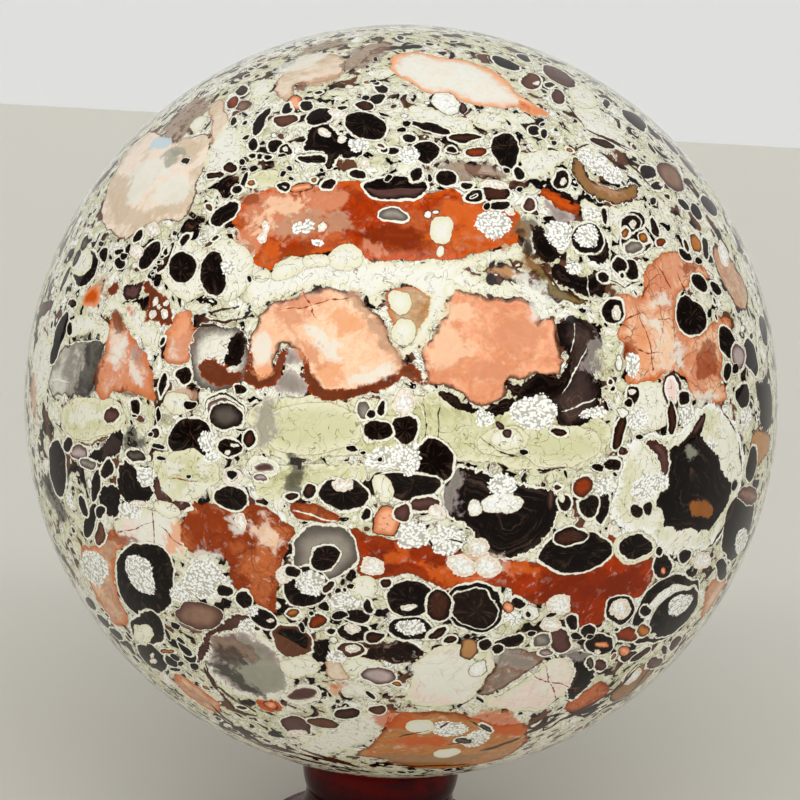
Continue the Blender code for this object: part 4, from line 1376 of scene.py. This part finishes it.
def new_material(name):
    """A material with an empty tree, its graph and its Principled shader's node."""
    material = bpy.data.materials.new(name)
    material.use_nodes = True
    material.node_tree.nodes.clear()
    graph = Graph(material.node_tree)
    shader = graph.add("ShaderNodeBsdfPrincipled")
    graph.add("ShaderNodeOutputMaterial", None, {"Surface": shader})
    return material, graph, shader.socket.node


def agate_material(settings):
    material, graph, shader = new_material("Polished agate")
    place = graph.attribute("place")
    loose = place + (graph.noise(place, 0.25, 2.0, 0.5, "Color") - (0.5, 0.5, 0.5)) * 3.0

    cells = cell_lines(graph, loose)
    cloudy = clouds(graph, loose)
    colour = matrix_colour(graph, loose, cells)
    ragged = graph.noise(place, 0.45, 4.0, 0.6)
    patches = patch_group()
    veined = 1.0
    for layer in range(PATCH_LAYERS):
        values = {field.title(): graph.attribute(f"patch{layer}_{field}", "Color") for field in PATCH_COLOURS}
        values["Style"] = graph.attribute(f"patch{layer}_style")
        values["Gap"] = graph.attribute(f"patch{layer}_distance", "Fac")
        values.update({"Below": colour, "Ragged": ragged, "Veins": veined, "Cells": cells, "Clouds": cloudy})
        painted = graph.group(patches, values)
        colour, veined = painted["Colour"], painted["Veins"]

    lumps = {"voronoi_dimensions": "3D", "feature": "F1"}
    lump = graph.add("ShaderNodeTexVoronoi", lumps, {"Vector": place, "Scale": 2.3}, "Distance")
    shared = {
        "Lump": lump,
        "Speck": graph.noise(place, 1.7, 2.0, 0.7),
        "Hair": graph.noise(place, 0.6, 1.0),
        "Tremble": (graph.noise(place, 1.3, 2.0) - 0.5) * settings.tremble,
    }
    values = {"Colour": colour, "Grit": 0.0, "Cover": 0.0, "Ray": (0.0, 0.0, 0.0), "Push": veined * TINY}
    steps = [(f"shape{layer}", shape_group(), ("finish",)) for layer in range(len(SHAPE_LAYERS))]
    steps += [(f"orb{slot}", orb_group(), ("spot", "size")) for slot in range(SLOTS)]
    for name, tree, numbers in steps:
        values.update(shared)
        values.update({field.title(): graph.attribute(f"{name}_{field}", "Color") for field in COLOURS})
        values.update({field.title(): graph.attribute(f"{name}_{field}") for field in NUMBERS + numbers})
        if "finish" in numbers:
            values["Distance"] = graph.attribute(f"{name}_distance", "Fac")
        values = graph.group(tree, values)
    colour, grit, cover, ray = values["Colour"], values["Grit"], values["Cover"], values["Ray"]

    fibre = graph.step(graph.noise(ray + place * 0.12, 1.6, 4.0, 0.65), 0.50, 0.78)
    colour = graph.mix(fibre * cover * 0.45, colour, "taupe")
    cloud = graph.noise(place, 0.4, 4.0, 0.6)
    colour = graph.mix(cover, colour, graph.mix(cloud, (0.18, 0.16, 0.16), (0.84, 0.80, 0.78)), "OVERLAY")
    seams = graph.step(lump, 0.46, 0.66) * grit
    colour = graph.mix(seams * 0.6, colour, "olive")
    pale = graph.step(graph.add("ShaderNodeRGBToBW", None, {0: colour}), 0.30, 0.55) * (1.0 - grit) * veined
    broken = graph.step(graph.noise(place, 0.35, 2.0), 0.40, 0.62)
    wide = thin_lines(graph, loose, 0.30, 0.012) * broken
    fine = thin_lines(graph, loose, 0.62, 0.014, 2.0) * (1.0 - broken)
    colour = graph.mix((wide + fine) * pale * 0.8, colour, "olive")

    roughness = settings.roughness + grit * settings.grit_roughness
    graph.feed(shader, {"Base Color": colour, "Roughness": roughness, "IOR": settings.ior})
    return material


CUBE_PLACE = "cube_place"


def ball_tree():
    """The node tree of a ball whose faces gather towards one side, from a cube's grid."""
    vector, number, whole = "NodeSocketVector", "NodeSocketFloat", "NodeSocketInt"
    inputs = {"Radius": number, "Centre": vector, "Divisions": whole, "Front": vector, "Gather": number}
    inputs["Material"] = "NodeSocketMaterial"
    outputs = {"Geometry": "NodeSocketGeometry"}
    tree, graph, wires = new_group("Polished ball", "GeometryNodeTree", inputs, outputs)
    rows = wires["Divisions"] + 1
    sizes = {"Size": (2, 2, 2), "Vertices X": rows, "Vertices Y": rows, "Vertices Z": rows}
    cube = graph.add("GeometryNodeMeshCube", None, sizes)
    position = graph.add("GeometryNodeInputPosition")
    settings = {"data_type": "FLOAT_VECTOR", "domain": "POINT"}
    values = {0: cube, "Name": CUBE_PLACE, "Value": position}
    stored = graph.add("GeometryNodeStoreNamedAttribute", settings, values)

    angles = [part * (math.pi / 4) for part in graph.parts(position)]
    even = [graph.add("ShaderNodeMath", {"operation": "TANGENT"}, {0: angle}) for angle in angles]
    bent = graph.add("ShaderNodeCombineXYZ", None, dict(enumerate(even)))
    unit = graph.add("ShaderNodeVectorMath", {"operation": "NORMALIZE"}, {0: bent})
    facing = unit.dot(wires["Front"])
    squeeze = wires["Gather"] * wires["Gather"] * (1.0 - facing)
    whole_share = 1.0 + facing + squeeze
    towards = (1.0 + facing - squeeze) / whole_share
    sideways = wires["Gather"] * 2.0 / whole_share
    gathered = wires["Front"] * towards + (unit - wires["Front"] * facing) * sideways
    place = gathered * wires["Radius"] + wires["Centre"]
    ball = graph.add("GeometryNodeSetPosition", None, {"Geometry": stored, "Position": place})
    smooth = graph.add("GeometryNodeSetShadeSmooth", None, {"Geometry": ball})
    solid = graph.add("GeometryNodeRealizeInstances", None, {"Geometry": smooth})
    finished = graph.add("GeometryNodeSetMaterial", None, {"Geometry": solid, "Material": wires["Material"]})
    graph.add("NodeGroupOutput", None, {"Geometry": finished})
    return tree


def new_object(name, data):
    made = bpy.data.objects.new(name, data)
    bpy.context.scene.collection.objects.link(made)
    return made


def plain_mesh(name, tree, inputs):
    """The object that a node tree makes, as a plain mesh."""
    maker = new_object(name + "_maker", bpy.data.meshes.new(name + "_maker"))
    modifier = maker.modifiers.new("Shape", "NODES")
    modifier.node_group = tree
    for item in tree.interface.items_tree:
        if item.item_type == "SOCKET" and item.in_out == "INPUT":
            modifier[item.identifier] = inputs[item.name]
    bpy.context.view_layer.update()
    depsgraph = bpy.context.evaluated_depsgraph_get()
    mesh = bpy.data.meshes.new_from_object(maker.evaluated_get(depsgraph))
    mesh.name = name
    maker.modifiers.remove(modifier)
    bpy.data.objects.remove(maker)
    return new_object(name, mesh)


def read_vectors(items, name, count):
    values = np.empty(count * 3, np.float32)
    items.foreach_get(name, values)
    return values.reshape(-1, 3).astype(float)


def face_corners(mesh, points):
    """The points at the four corners of each face."""
    vertices = np.empty(len(mesh.loops), int)
    mesh.loops.foreach_get("vertex_index", vertices)
    return points[vertices].reshape(-1, 4, 3)


# The map's name, and the gap round each side of the cube as a share of the map
MAP_NAME = "OFBake"
MAP_GAP = 0.006


def lay_map(mesh):
    """Lays the six sides of the ball's cube on its map, in two rows of three."""
    cube = read_vectors(mesh.attributes[CUBE_PLACE].data, "vector", len(mesh.vertices))
    places = face_corners(mesh, cube)
    sides = places.mean(axis=1)
    axis = np.abs(sides).argmax(axis=1)
    rows = np.arange(len(axis))
    forward = sides[rows, axis] > 0
    one_way = places[rows[:, None], np.arange(4)[None, :], ((axis + 1) % 3)[:, None]]
    other_way = places[rows[:, None], np.arange(4)[None, :], ((axis + 2) % 3)[:, None]]
    share = 1 - 2 * MAP_GAP * 3
    across = (axis[:, None] + 0.5 + one_way * 0.5 * share) / 3
    upwards = (forward[:, None] + 0.5 + other_way * 0.5 * share) / 2
    uv = mesh.uv_layers.new(name=MAP_NAME)
    uv.data.foreach_set("uv", np.stack((across, upwards), axis=2).astype(np.float32).ravel())
    mesh.attributes.remove(mesh.attributes[CUBE_PLACE])


class StoneSettings(bpy.types.PropertyGroup):
    """The agate sphere's size, markings and polish."""

    radius: FloatProperty(
        name="Radius", description="Radius of the sphere", default=STONE_RADIUS, min=0.01, unit="LENGTH"
    )
    divisions: IntProperty(
        name="Divisions", description="Faces along each side of the cube that is bent to a ball", default=126,
        min=8
    )
    gather: FloatProperty(
        name="Gather", description="How far the faces spread on the shown side; 1 is even", default=0.75,
        min=0.3, max=1.0, subtype="FACTOR"
    )
    seed: IntProperty(
        name="Seed", description="Seed of the hidden side's markings and of wandering outlines", default=11,
        min=1
    )
    sway: FloatProperty(
        name="Sway", description="How far outlines wander over a few millimetres, in millimetres", default=0.8
    )
    wobble: FloatProperty(
        name="Wobble", description="How far outlines wander over two millimetres, in millimetres",
        default=0.45
    )
    tremble: FloatProperty(
        name="Tremble", description="How far outlines tremble under a millimetre, in millimetres", default=0.5
    )
    roughness: FloatProperty(
        name="Roughness", description="Roughness of the polish", default=0.045, min=0.0, max=1.0,
        subtype="FACTOR"
    )
    grit_roughness: FloatProperty(
        name="Grit roughness", description="Roughness that the crystal nodules add", default=0.12,
        subtype="FACTOR"
    )
    ior: FloatProperty(name="IOR", description="How strongly the stone reflects", default=1.2, min=1.0)


class StandSettings(bpy.types.PropertyGroup):
    """The turned stand's finish."""

    wood: FloatVectorProperty(
        name="Wood", description="Colour of the lacquered wood", default=(0.088, 0.0016, 0.0012), size=3,
        subtype="COLOR"
    )
    # The dark grain colour is also the painted shade in the hollow under the cup
    dark: FloatVectorProperty(
        name="Dark grain", description="Colour of the grain's dark lines", default=(0.020, 0.003, 0.004),
        size=3, subtype="COLOR"
    )
    segments: IntProperty(name="Segments", description="Faces round the stand", default=160, min=24)


class StageSettings(bpy.types.PropertyGroup):
    """The plain floor, wall and light."""

    floor: FloatVectorProperty(
        name="Floor", description="Colour of the floor", default=tuple(rgb(213, 210, 200)), size=3,
        subtype="COLOR"
    )
    wall: FloatVectorProperty(
        name="Wall", description="Colour of the wall", default=tuple(rgb(236, 237, 238)), size=3,
        subtype="COLOR"
    )
    window: FloatProperty(
        name="Window", description="Brightness of the window that the stone mirrors", default=4.4
    )
    stage_width: FloatProperty(
        name="Stage width", description="Width of the stage", default=1.8, unit="LENGTH"
    )
    wall_distance: FloatProperty(
        name="Wall distance", description="How far behind the stone the floor meets the wall", default=0.613,
        unit="LENGTH"
    )


class AGATE_OT_stone(bpy.types.Operator):
    """Makes the agate sphere with its orbs, patches and polish"""

    bl_idname = "agate.stone"
    bl_label = "Agate sphere"

    def execute(self, context):
        settings = context.scene.agate_stone
        material = agate_material(settings)
        inputs = {
            "Radius": settings.radius,
            "Centre": tuple(STONE_CENTRE),
            "Divisions": settings.divisions,
            "Front": tuple(BACK),
            "Gather": settings.gather,
            "Material": material,
        }
        stone = plain_mesh("polished_agate_sphere", ball_tree(), inputs)
        mesh = stone.data
        lay_map(mesh)
        points = (read_vectors(mesh.vertices, "co", len(mesh.vertices)) - np.array(STONE_CENTRE)) / MM
        points = wandered(points, settings.sway, settings.wobble, settings.seed)
        set_attribute(mesh, "place", "POINT", points)
        faces = Faces(face_corners(mesh, points))

        chance = np.random.default_rng(settings.seed)
        patches = [photo_patch(*patch) for patch in PATCHES] + hidden_patches(chance)
        directions = points / np.linalg.norm(points, axis=1)[:, None]
        mark_patches(mesh, faces, directions, patches)
        mark_shapes(mesh, faces, directions)
        orbs = front_orbs()
        for orb in orbs:
            take_room(faces, orb)
        orbs += filler_orbs(chance, faces)
        mark_orbs(mesh, faces, orbs)

        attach(stone, "root")
        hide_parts("agate_sphere")
        return {"FINISHED"}


class AGATE_OT_stand(bpy.types.Operator):
    """Makes the turned, lacquered stand"""

    bl_idname = "agate.stand"
    bl_label = "Lacquered stand"

    def execute(self, context):
        settings = context.scene.agate_stand
        stand = turned_stand(settings)
        stand.data.materials.append(lacquer_material(settings))
        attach(stand, "root")
        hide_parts("wood_stand")
        return {"FINISHED"}


def arc(centre, radii, angles, steps):
    """Points (radius, height) on an elliptical arc, from one angle in degrees to the other."""
    turns = np.radians(np.linspace(*angles, steps + 1))
    return [(centre[0] + radii[0] * math.cos(turn), centre[1] + radii[1] * math.sin(turn)) for turn in turns]


def stand_profile():
    """The stand's outline (radius, height) in metres, from its underside up and into the seat."""
    bead, bead_lift, waist, waist_height = 1.3 * MM, 0.25 * MM, 13.3 * MM, 12.2 * MM
    cup, cup_height, swell = 14.2 * MM, 17.5 * MM, (2.2 * MM, 6.3 * MM)
    cove_width, cove_depth = 9.0 * MM, 9.8 * MM
    seat_outer, seat_inner, seat_gap = 12.4 * MM, 9.0 * MM, 0.3 * MM
    rest = STONE_RADIUS + seat_gap

    def seat(radius):
        return STONE_CENTRE.z - math.sqrt(rest**2 - radius**2)

    flat = STAND_RADIUS - bead
    profile = [(0.0, 0.0), (flat * 0.5, 0.0), (flat, 0.0)]
    profile += arc((flat, bead + bead_lift), (bead, bead), (-70, 90), 14)
    profile += arc((waist + cove_width, waist_height), (cove_width, cove_depth), (248, 180), 20)
    profile += arc((cup - swell[0], cup_height), swell, (-54, 0), 12)
    lip = (cup - seat_outer, seat(seat_outer) - cup_height)
    profile += arc((seat_outer, cup_height), lip, (0, 90), 10)[1:]
    profile += [(radius, seat(radius)) for radius in np.linspace(seat_outer, seat_inner, 8)[1:]]
    profile += [(7.6 * MM, 19.4 * MM), (4.0 * MM, 19.2 * MM), (0.0, 19.2 * MM)]
    return profile


SHARP_ANGLE = math.radians(40)


def turned_stand(settings):
    """The stand's profile turned about the upright axis, closed at both ends."""
    profile = stand_profile()
    shape = bmesh.new()
    rings = []
    for radius, height in profile:
        if radius == 0.0:
            rings.append([shape.verts.new((0.0, 0.0, height))] * settings.segments)
            continue
        turns = [2 * math.pi * step / settings.segments for step in range(settings.segments)]
        ring = [(radius * math.cos(turn), radius * math.sin(turn), height) for turn in turns]
        rings.append([shape.verts.new(place) for place in ring])
    for lower, upper in zip(rings, rings[1:]):
        for step in range(settings.segments):
            after = (step + 1) % settings.segments
            corners = dict.fromkeys((lower[step], lower[after], upper[after], upper[step]))
            shape.faces.new(list(corners))
    bmesh.ops.recalc_face_normals(shape, faces=shape.faces)
    mesh = bpy.data.meshes.new("turned_wood_stand")
    shape.to_mesh(mesh)
    shape.free()
    mesh.shade_smooth()
    mesh.set_sharp_from_angle(angle=SHARP_ANGLE)
    return new_object("turned_wood_stand", mesh)


# The grain's turns per metre along and across the wood, the heights over which the painted shade in the
# hollow between the foot and the cup fades in above the foot and out under the cup, the ripple's depth, and
# the lacquer's finish
GRAIN = (0.25 / MM, 1 / MM, 1 / MM)
FOOT_PAINTED_SHADE = (2.4 * MM, 5.4 * MM)
CUP_PAINTED_SHADE = (18.5 * MM, 15.0 * MM)
RIPPLE = 0.3 * MM
LACQUER = {"Specular IOR Level": 0.06, "Coat Weight": 0.05, "Coat Roughness": 0.06}


def lacquer_material(settings):
    """Dark red lacquer over turned wood, whose grain runs along X, with shade painted into the hollow under
    the cup.
    """
    material, graph, shader = new_material("Lacquered wood")
    coordinates = graph.add("ShaderNodeTexCoord", None, None, "Object")
    place = coordinates * GRAIN
    bands = graph.noise(place, 0.55, 5.0, 0.6, warp=0.6)
    pores = graph.step(graph.noise(place * (0.5, 4.0, 4.0), 1.0, 3.0, 0.7), 0.60, 0.68)
    dark = graph.step(bands, 0.40, 0.66)
    colour = graph.mix(dark * 0.7, tuple(settings.wood), tuple(settings.dark))
    colour = graph.mix(pores * 0.6, colour, tuple(settings.dark))
    _, _, height = graph.parts(coordinates)
    # Painted shade: the hollow between the foot and the cup turns towards the dark grain colour, where shade
    # falls under the cup
    painted_hollow_shade = graph.step(height, *FOOT_PAINTED_SHADE) * graph.step(height, *CUP_PAINTED_SHADE)
    colour = graph.mix(painted_hollow_shade * 0.9, colour, tuple(settings.dark))
    wear = graph.noise(coordinates, 220.0, 3.0)
    roughness = 0.14 + wear * 0.1
    ripple = graph.add("ShaderNodeBump", None, {"Strength": 0.06, "Distance": RIPPLE, "Height": bands})
    graph.feed(shader, {"Base Color": colour, "Roughness": roughness, "Normal": ripple})
    graph.feed(shader, LACQUER)
    return material


# The wall's height in metres, and how matt the floor and the wall are
WALL_HEIGHT = 1.5
FLOOR_ROUGHNESS = 0.45
WALL_ROUGHNESS = 0.9


class AGATE_OT_stage(bpy.types.Operator):
    """Makes the plain floor, wall, soft light and camera"""

    bl_idname = "agate.stage"
    bl_label = "Stage"

    def execute(self, context):
        settings = context.scene.agate_stage
        make_camera()
        light_world(settings)
        make_lamps()
        side, length, back = settings.stage_width / 2, settings.stage_width, settings.wall_distance
        floor = ((-side, -length, 0.0), (side, -length, 0.0), (side, length, 0.0), (-side, length, 0.0))
        wall = ((-side, back, 0.0), (side, back, 0.0), (side, back, WALL_HEIGHT), (-side, back, WALL_HEIGHT))
        make_sheet("floor", floor, settings.floor, FLOOR_ROUGHNESS)
        make_sheet("wall", wall, settings.wall, WALL_ROUGHNESS)
        return {"FINISHED"}


def make_sheet(name, corners, colour, roughness):
    """A plain four-cornered surface of the stage. Seen from behind it is clear, so that it hides nothing."""
    mesh = bpy.data.meshes.new(name)
    mesh.from_pydata(corners, [], [(0, 1, 2, 3)])
    material, graph, shader = new_material(name.title())
    behind = graph.add("ShaderNodeNewGeometry", None, None, "Backfacing")
    clear = graph.add("ShaderNodeBsdfTransparent")
    solid = Wire(graph, shader.outputs["BSDF"])
    seen = graph.add("ShaderNodeMixShader", None, {0: behind, 1: solid, 2: clear})
    graph.feed(graph.tree.nodes["Material Output"], {"Surface": seen})
    graph.feed(shader, {"Base Color": colour, "Roughness": roughness, "Specular IOR Level": 0.0})
    mesh.materials.append(material)
    new_object(name, mesh)


def make_camera():
    """A camera at the photograph's viewing angle, distance and roll."""
    data = bpy.data.cameras.new("camera")
    data.sensor_width = SENSOR
    data.lens = PHOTO_FOCUS / PHOTO_SIDE * SENSOR
    data.shift_x = (PHOTO_SIDE / 2 - PHOTO_STONE[0]) / PHOTO_SIDE
    data.shift_y = (PHOTO_STONE[1] - PHOTO_SIDE / 2) / PHOTO_SIDE
    camera = new_object("camera", data)
    turn = Matrix((RIGHT, UP, BACK)).transposed().to_4x4()
    place = Matrix.Translation(STONE_CENTRE + Vector(BACK) * VIEW_DISTANCE * STONE_RADIUS)
    camera.matrix_world = place @ turn
    bpy.context.scene.camera = camera


# The window as the stone mirrors it, in slopes away from the line to the camera
WINDOW_MIDDLE = 0.07
WINDOW_HALF_WIDTH = 1.4
WINDOW_LOW = 0.60
WINDOW_HIGH = 1.0
SIDE_BLUR, LOW_BLUR, HIGH_BLUR = 0.12, 0.06, 0.04
WINDOW_COLOUR = (0.97, 0.98, 1.0)

# The dim room below and above, and the least part of a direction that counts as ahead
ROOM_LOW = (0.10, 0.10, 0.09)
ROOM_HIGH = (0.26, 0.26, 0.26)
AHEAD = 0.05


def light_world(settings):
    """A dim plain room with one wide bright window high in front of the stone."""
    world = bpy.data.worlds.new("Studio")
    world.use_nodes = True
    world.node_tree.nodes.clear()
    graph = Graph(world.node_tree)
    way = graph.add("ShaderNodeTexCoord", None, None, "Generated")
    ahead = way.dot(tuple(BACK))
    forward = graph.step(ahead, AHEAD, AHEAD * 2)
    ahead = graph.greatest(ahead, AHEAD)
    sideways, height = way.dot(tuple(RIGHT)) / ahead, way.dot(tuple(UP)) / ahead
    across = graph.step((sideways - WINDOW_MIDDLE).size(), WINDOW_HALF_WIDTH, WINDOW_HALF_WIDTH - SIDE_BLUR)
    lower = graph.step(height, WINDOW_LOW, WINDOW_LOW + LOW_BLUR)
    upper = graph.step(height, WINDOW_HIGH, WINDOW_HIGH - HIGH_BLUR)
    window = across * lower * upper * forward
    _, _, z = graph.parts(way)
    room = graph.mix(graph.step(z, 0.0, 0.9), ROOM_LOW, ROOM_HIGH)
    bright = graph.mix(window, room, tuple(np.array(WINDOW_COLOUR) * settings.window))
    background = graph.add("ShaderNodeBackground", None, {"Color": bright, "Strength": 1.0})
    graph.add("ShaderNodeOutputWorld", None, {"Surface": background})
    bpy.context.scene.world = world
    bpy.context.scene.view_settings.view_transform = "Standard"


# Large soft lamps round the stone, that show only in what they light: turn from the camera's side and height
# in degrees, and the light they give
LAMPS = (
    ("left_lamp", -70, 22, 0.58),
    ("right_lamp", 70, 22, 0.58),
    ("front_lamp", 0, 10, 0.93),
    ("high_lamp", 0, 52, 0.61),
)

# Their distance from the stone and their width in metres
LAMP_DISTANCE = 1.6
LAMP_SIZE = 1.3


def make_lamps():
    for name, turn, rise, light in LAMPS:
        turn, rise = math.radians(turn), math.radians(rise)
        way = Vector((math.sin(turn) * math.cos(rise), -math.cos(turn) * math.cos(rise), math.sin(rise)))
        data = bpy.data.lights.new(name, "AREA")
        data.size = LAMP_SIZE
        data.energy = light * math.pi * LAMP_DISTANCE**2
        lamp = new_object(name, data)
        lamp.location = STONE_CENTRE + way * LAMP_DISTANCE
        lamp.rotation_euler = way.to_track_quat("Z", "Y").to_euler()
        lamp.visible_glossy = False


class AGATE_PT_panel(bpy.types.Panel):
    """Lists the makers and their settings"""

    bl_label = "Agate sphere"
    bl_space_type = "VIEW_3D"
    bl_region_type = "UI"
    bl_category = "Agate"

    def draw(self, context):
        for operator, settings in SECTIONS:
            box = self.layout.box()
            box.operator(operator)
            group = getattr(context.scene, settings)
            for name in group.__annotations__:
                box.prop(group, name)


SECTIONS = (("agate.stage", "agate_stage"), ("agate.stand", "agate_stand"), ("agate.stone", "agate_stone"))
SETTINGS = {"agate_stage": StageSettings, "agate_stand": StandSettings, "agate_stone": StoneSettings}
CLASSES = (*SETTINGS.values(), AGATE_OT_stage, AGATE_OT_stand, AGATE_OT_stone, AGATE_PT_panel)


def register():
    for cls in CLASSES:
        bpy.utils.register_class(cls)
    for name, group in SETTINGS.items():
        setattr(bpy.types.Scene, name, PointerProperty(type=group))


def unregister():
    for name in SETTINGS:
        delattr(bpy.types.Scene, name)
    for cls in reversed(CLASSES):
        bpy.utils.unregister_class(cls)


def main():
    register()
    bpy.ops.agate.stage()
    bpy.ops.agate.stand()
    bpy.ops.agate.stone()


if __name__ == "__main__":
    main()
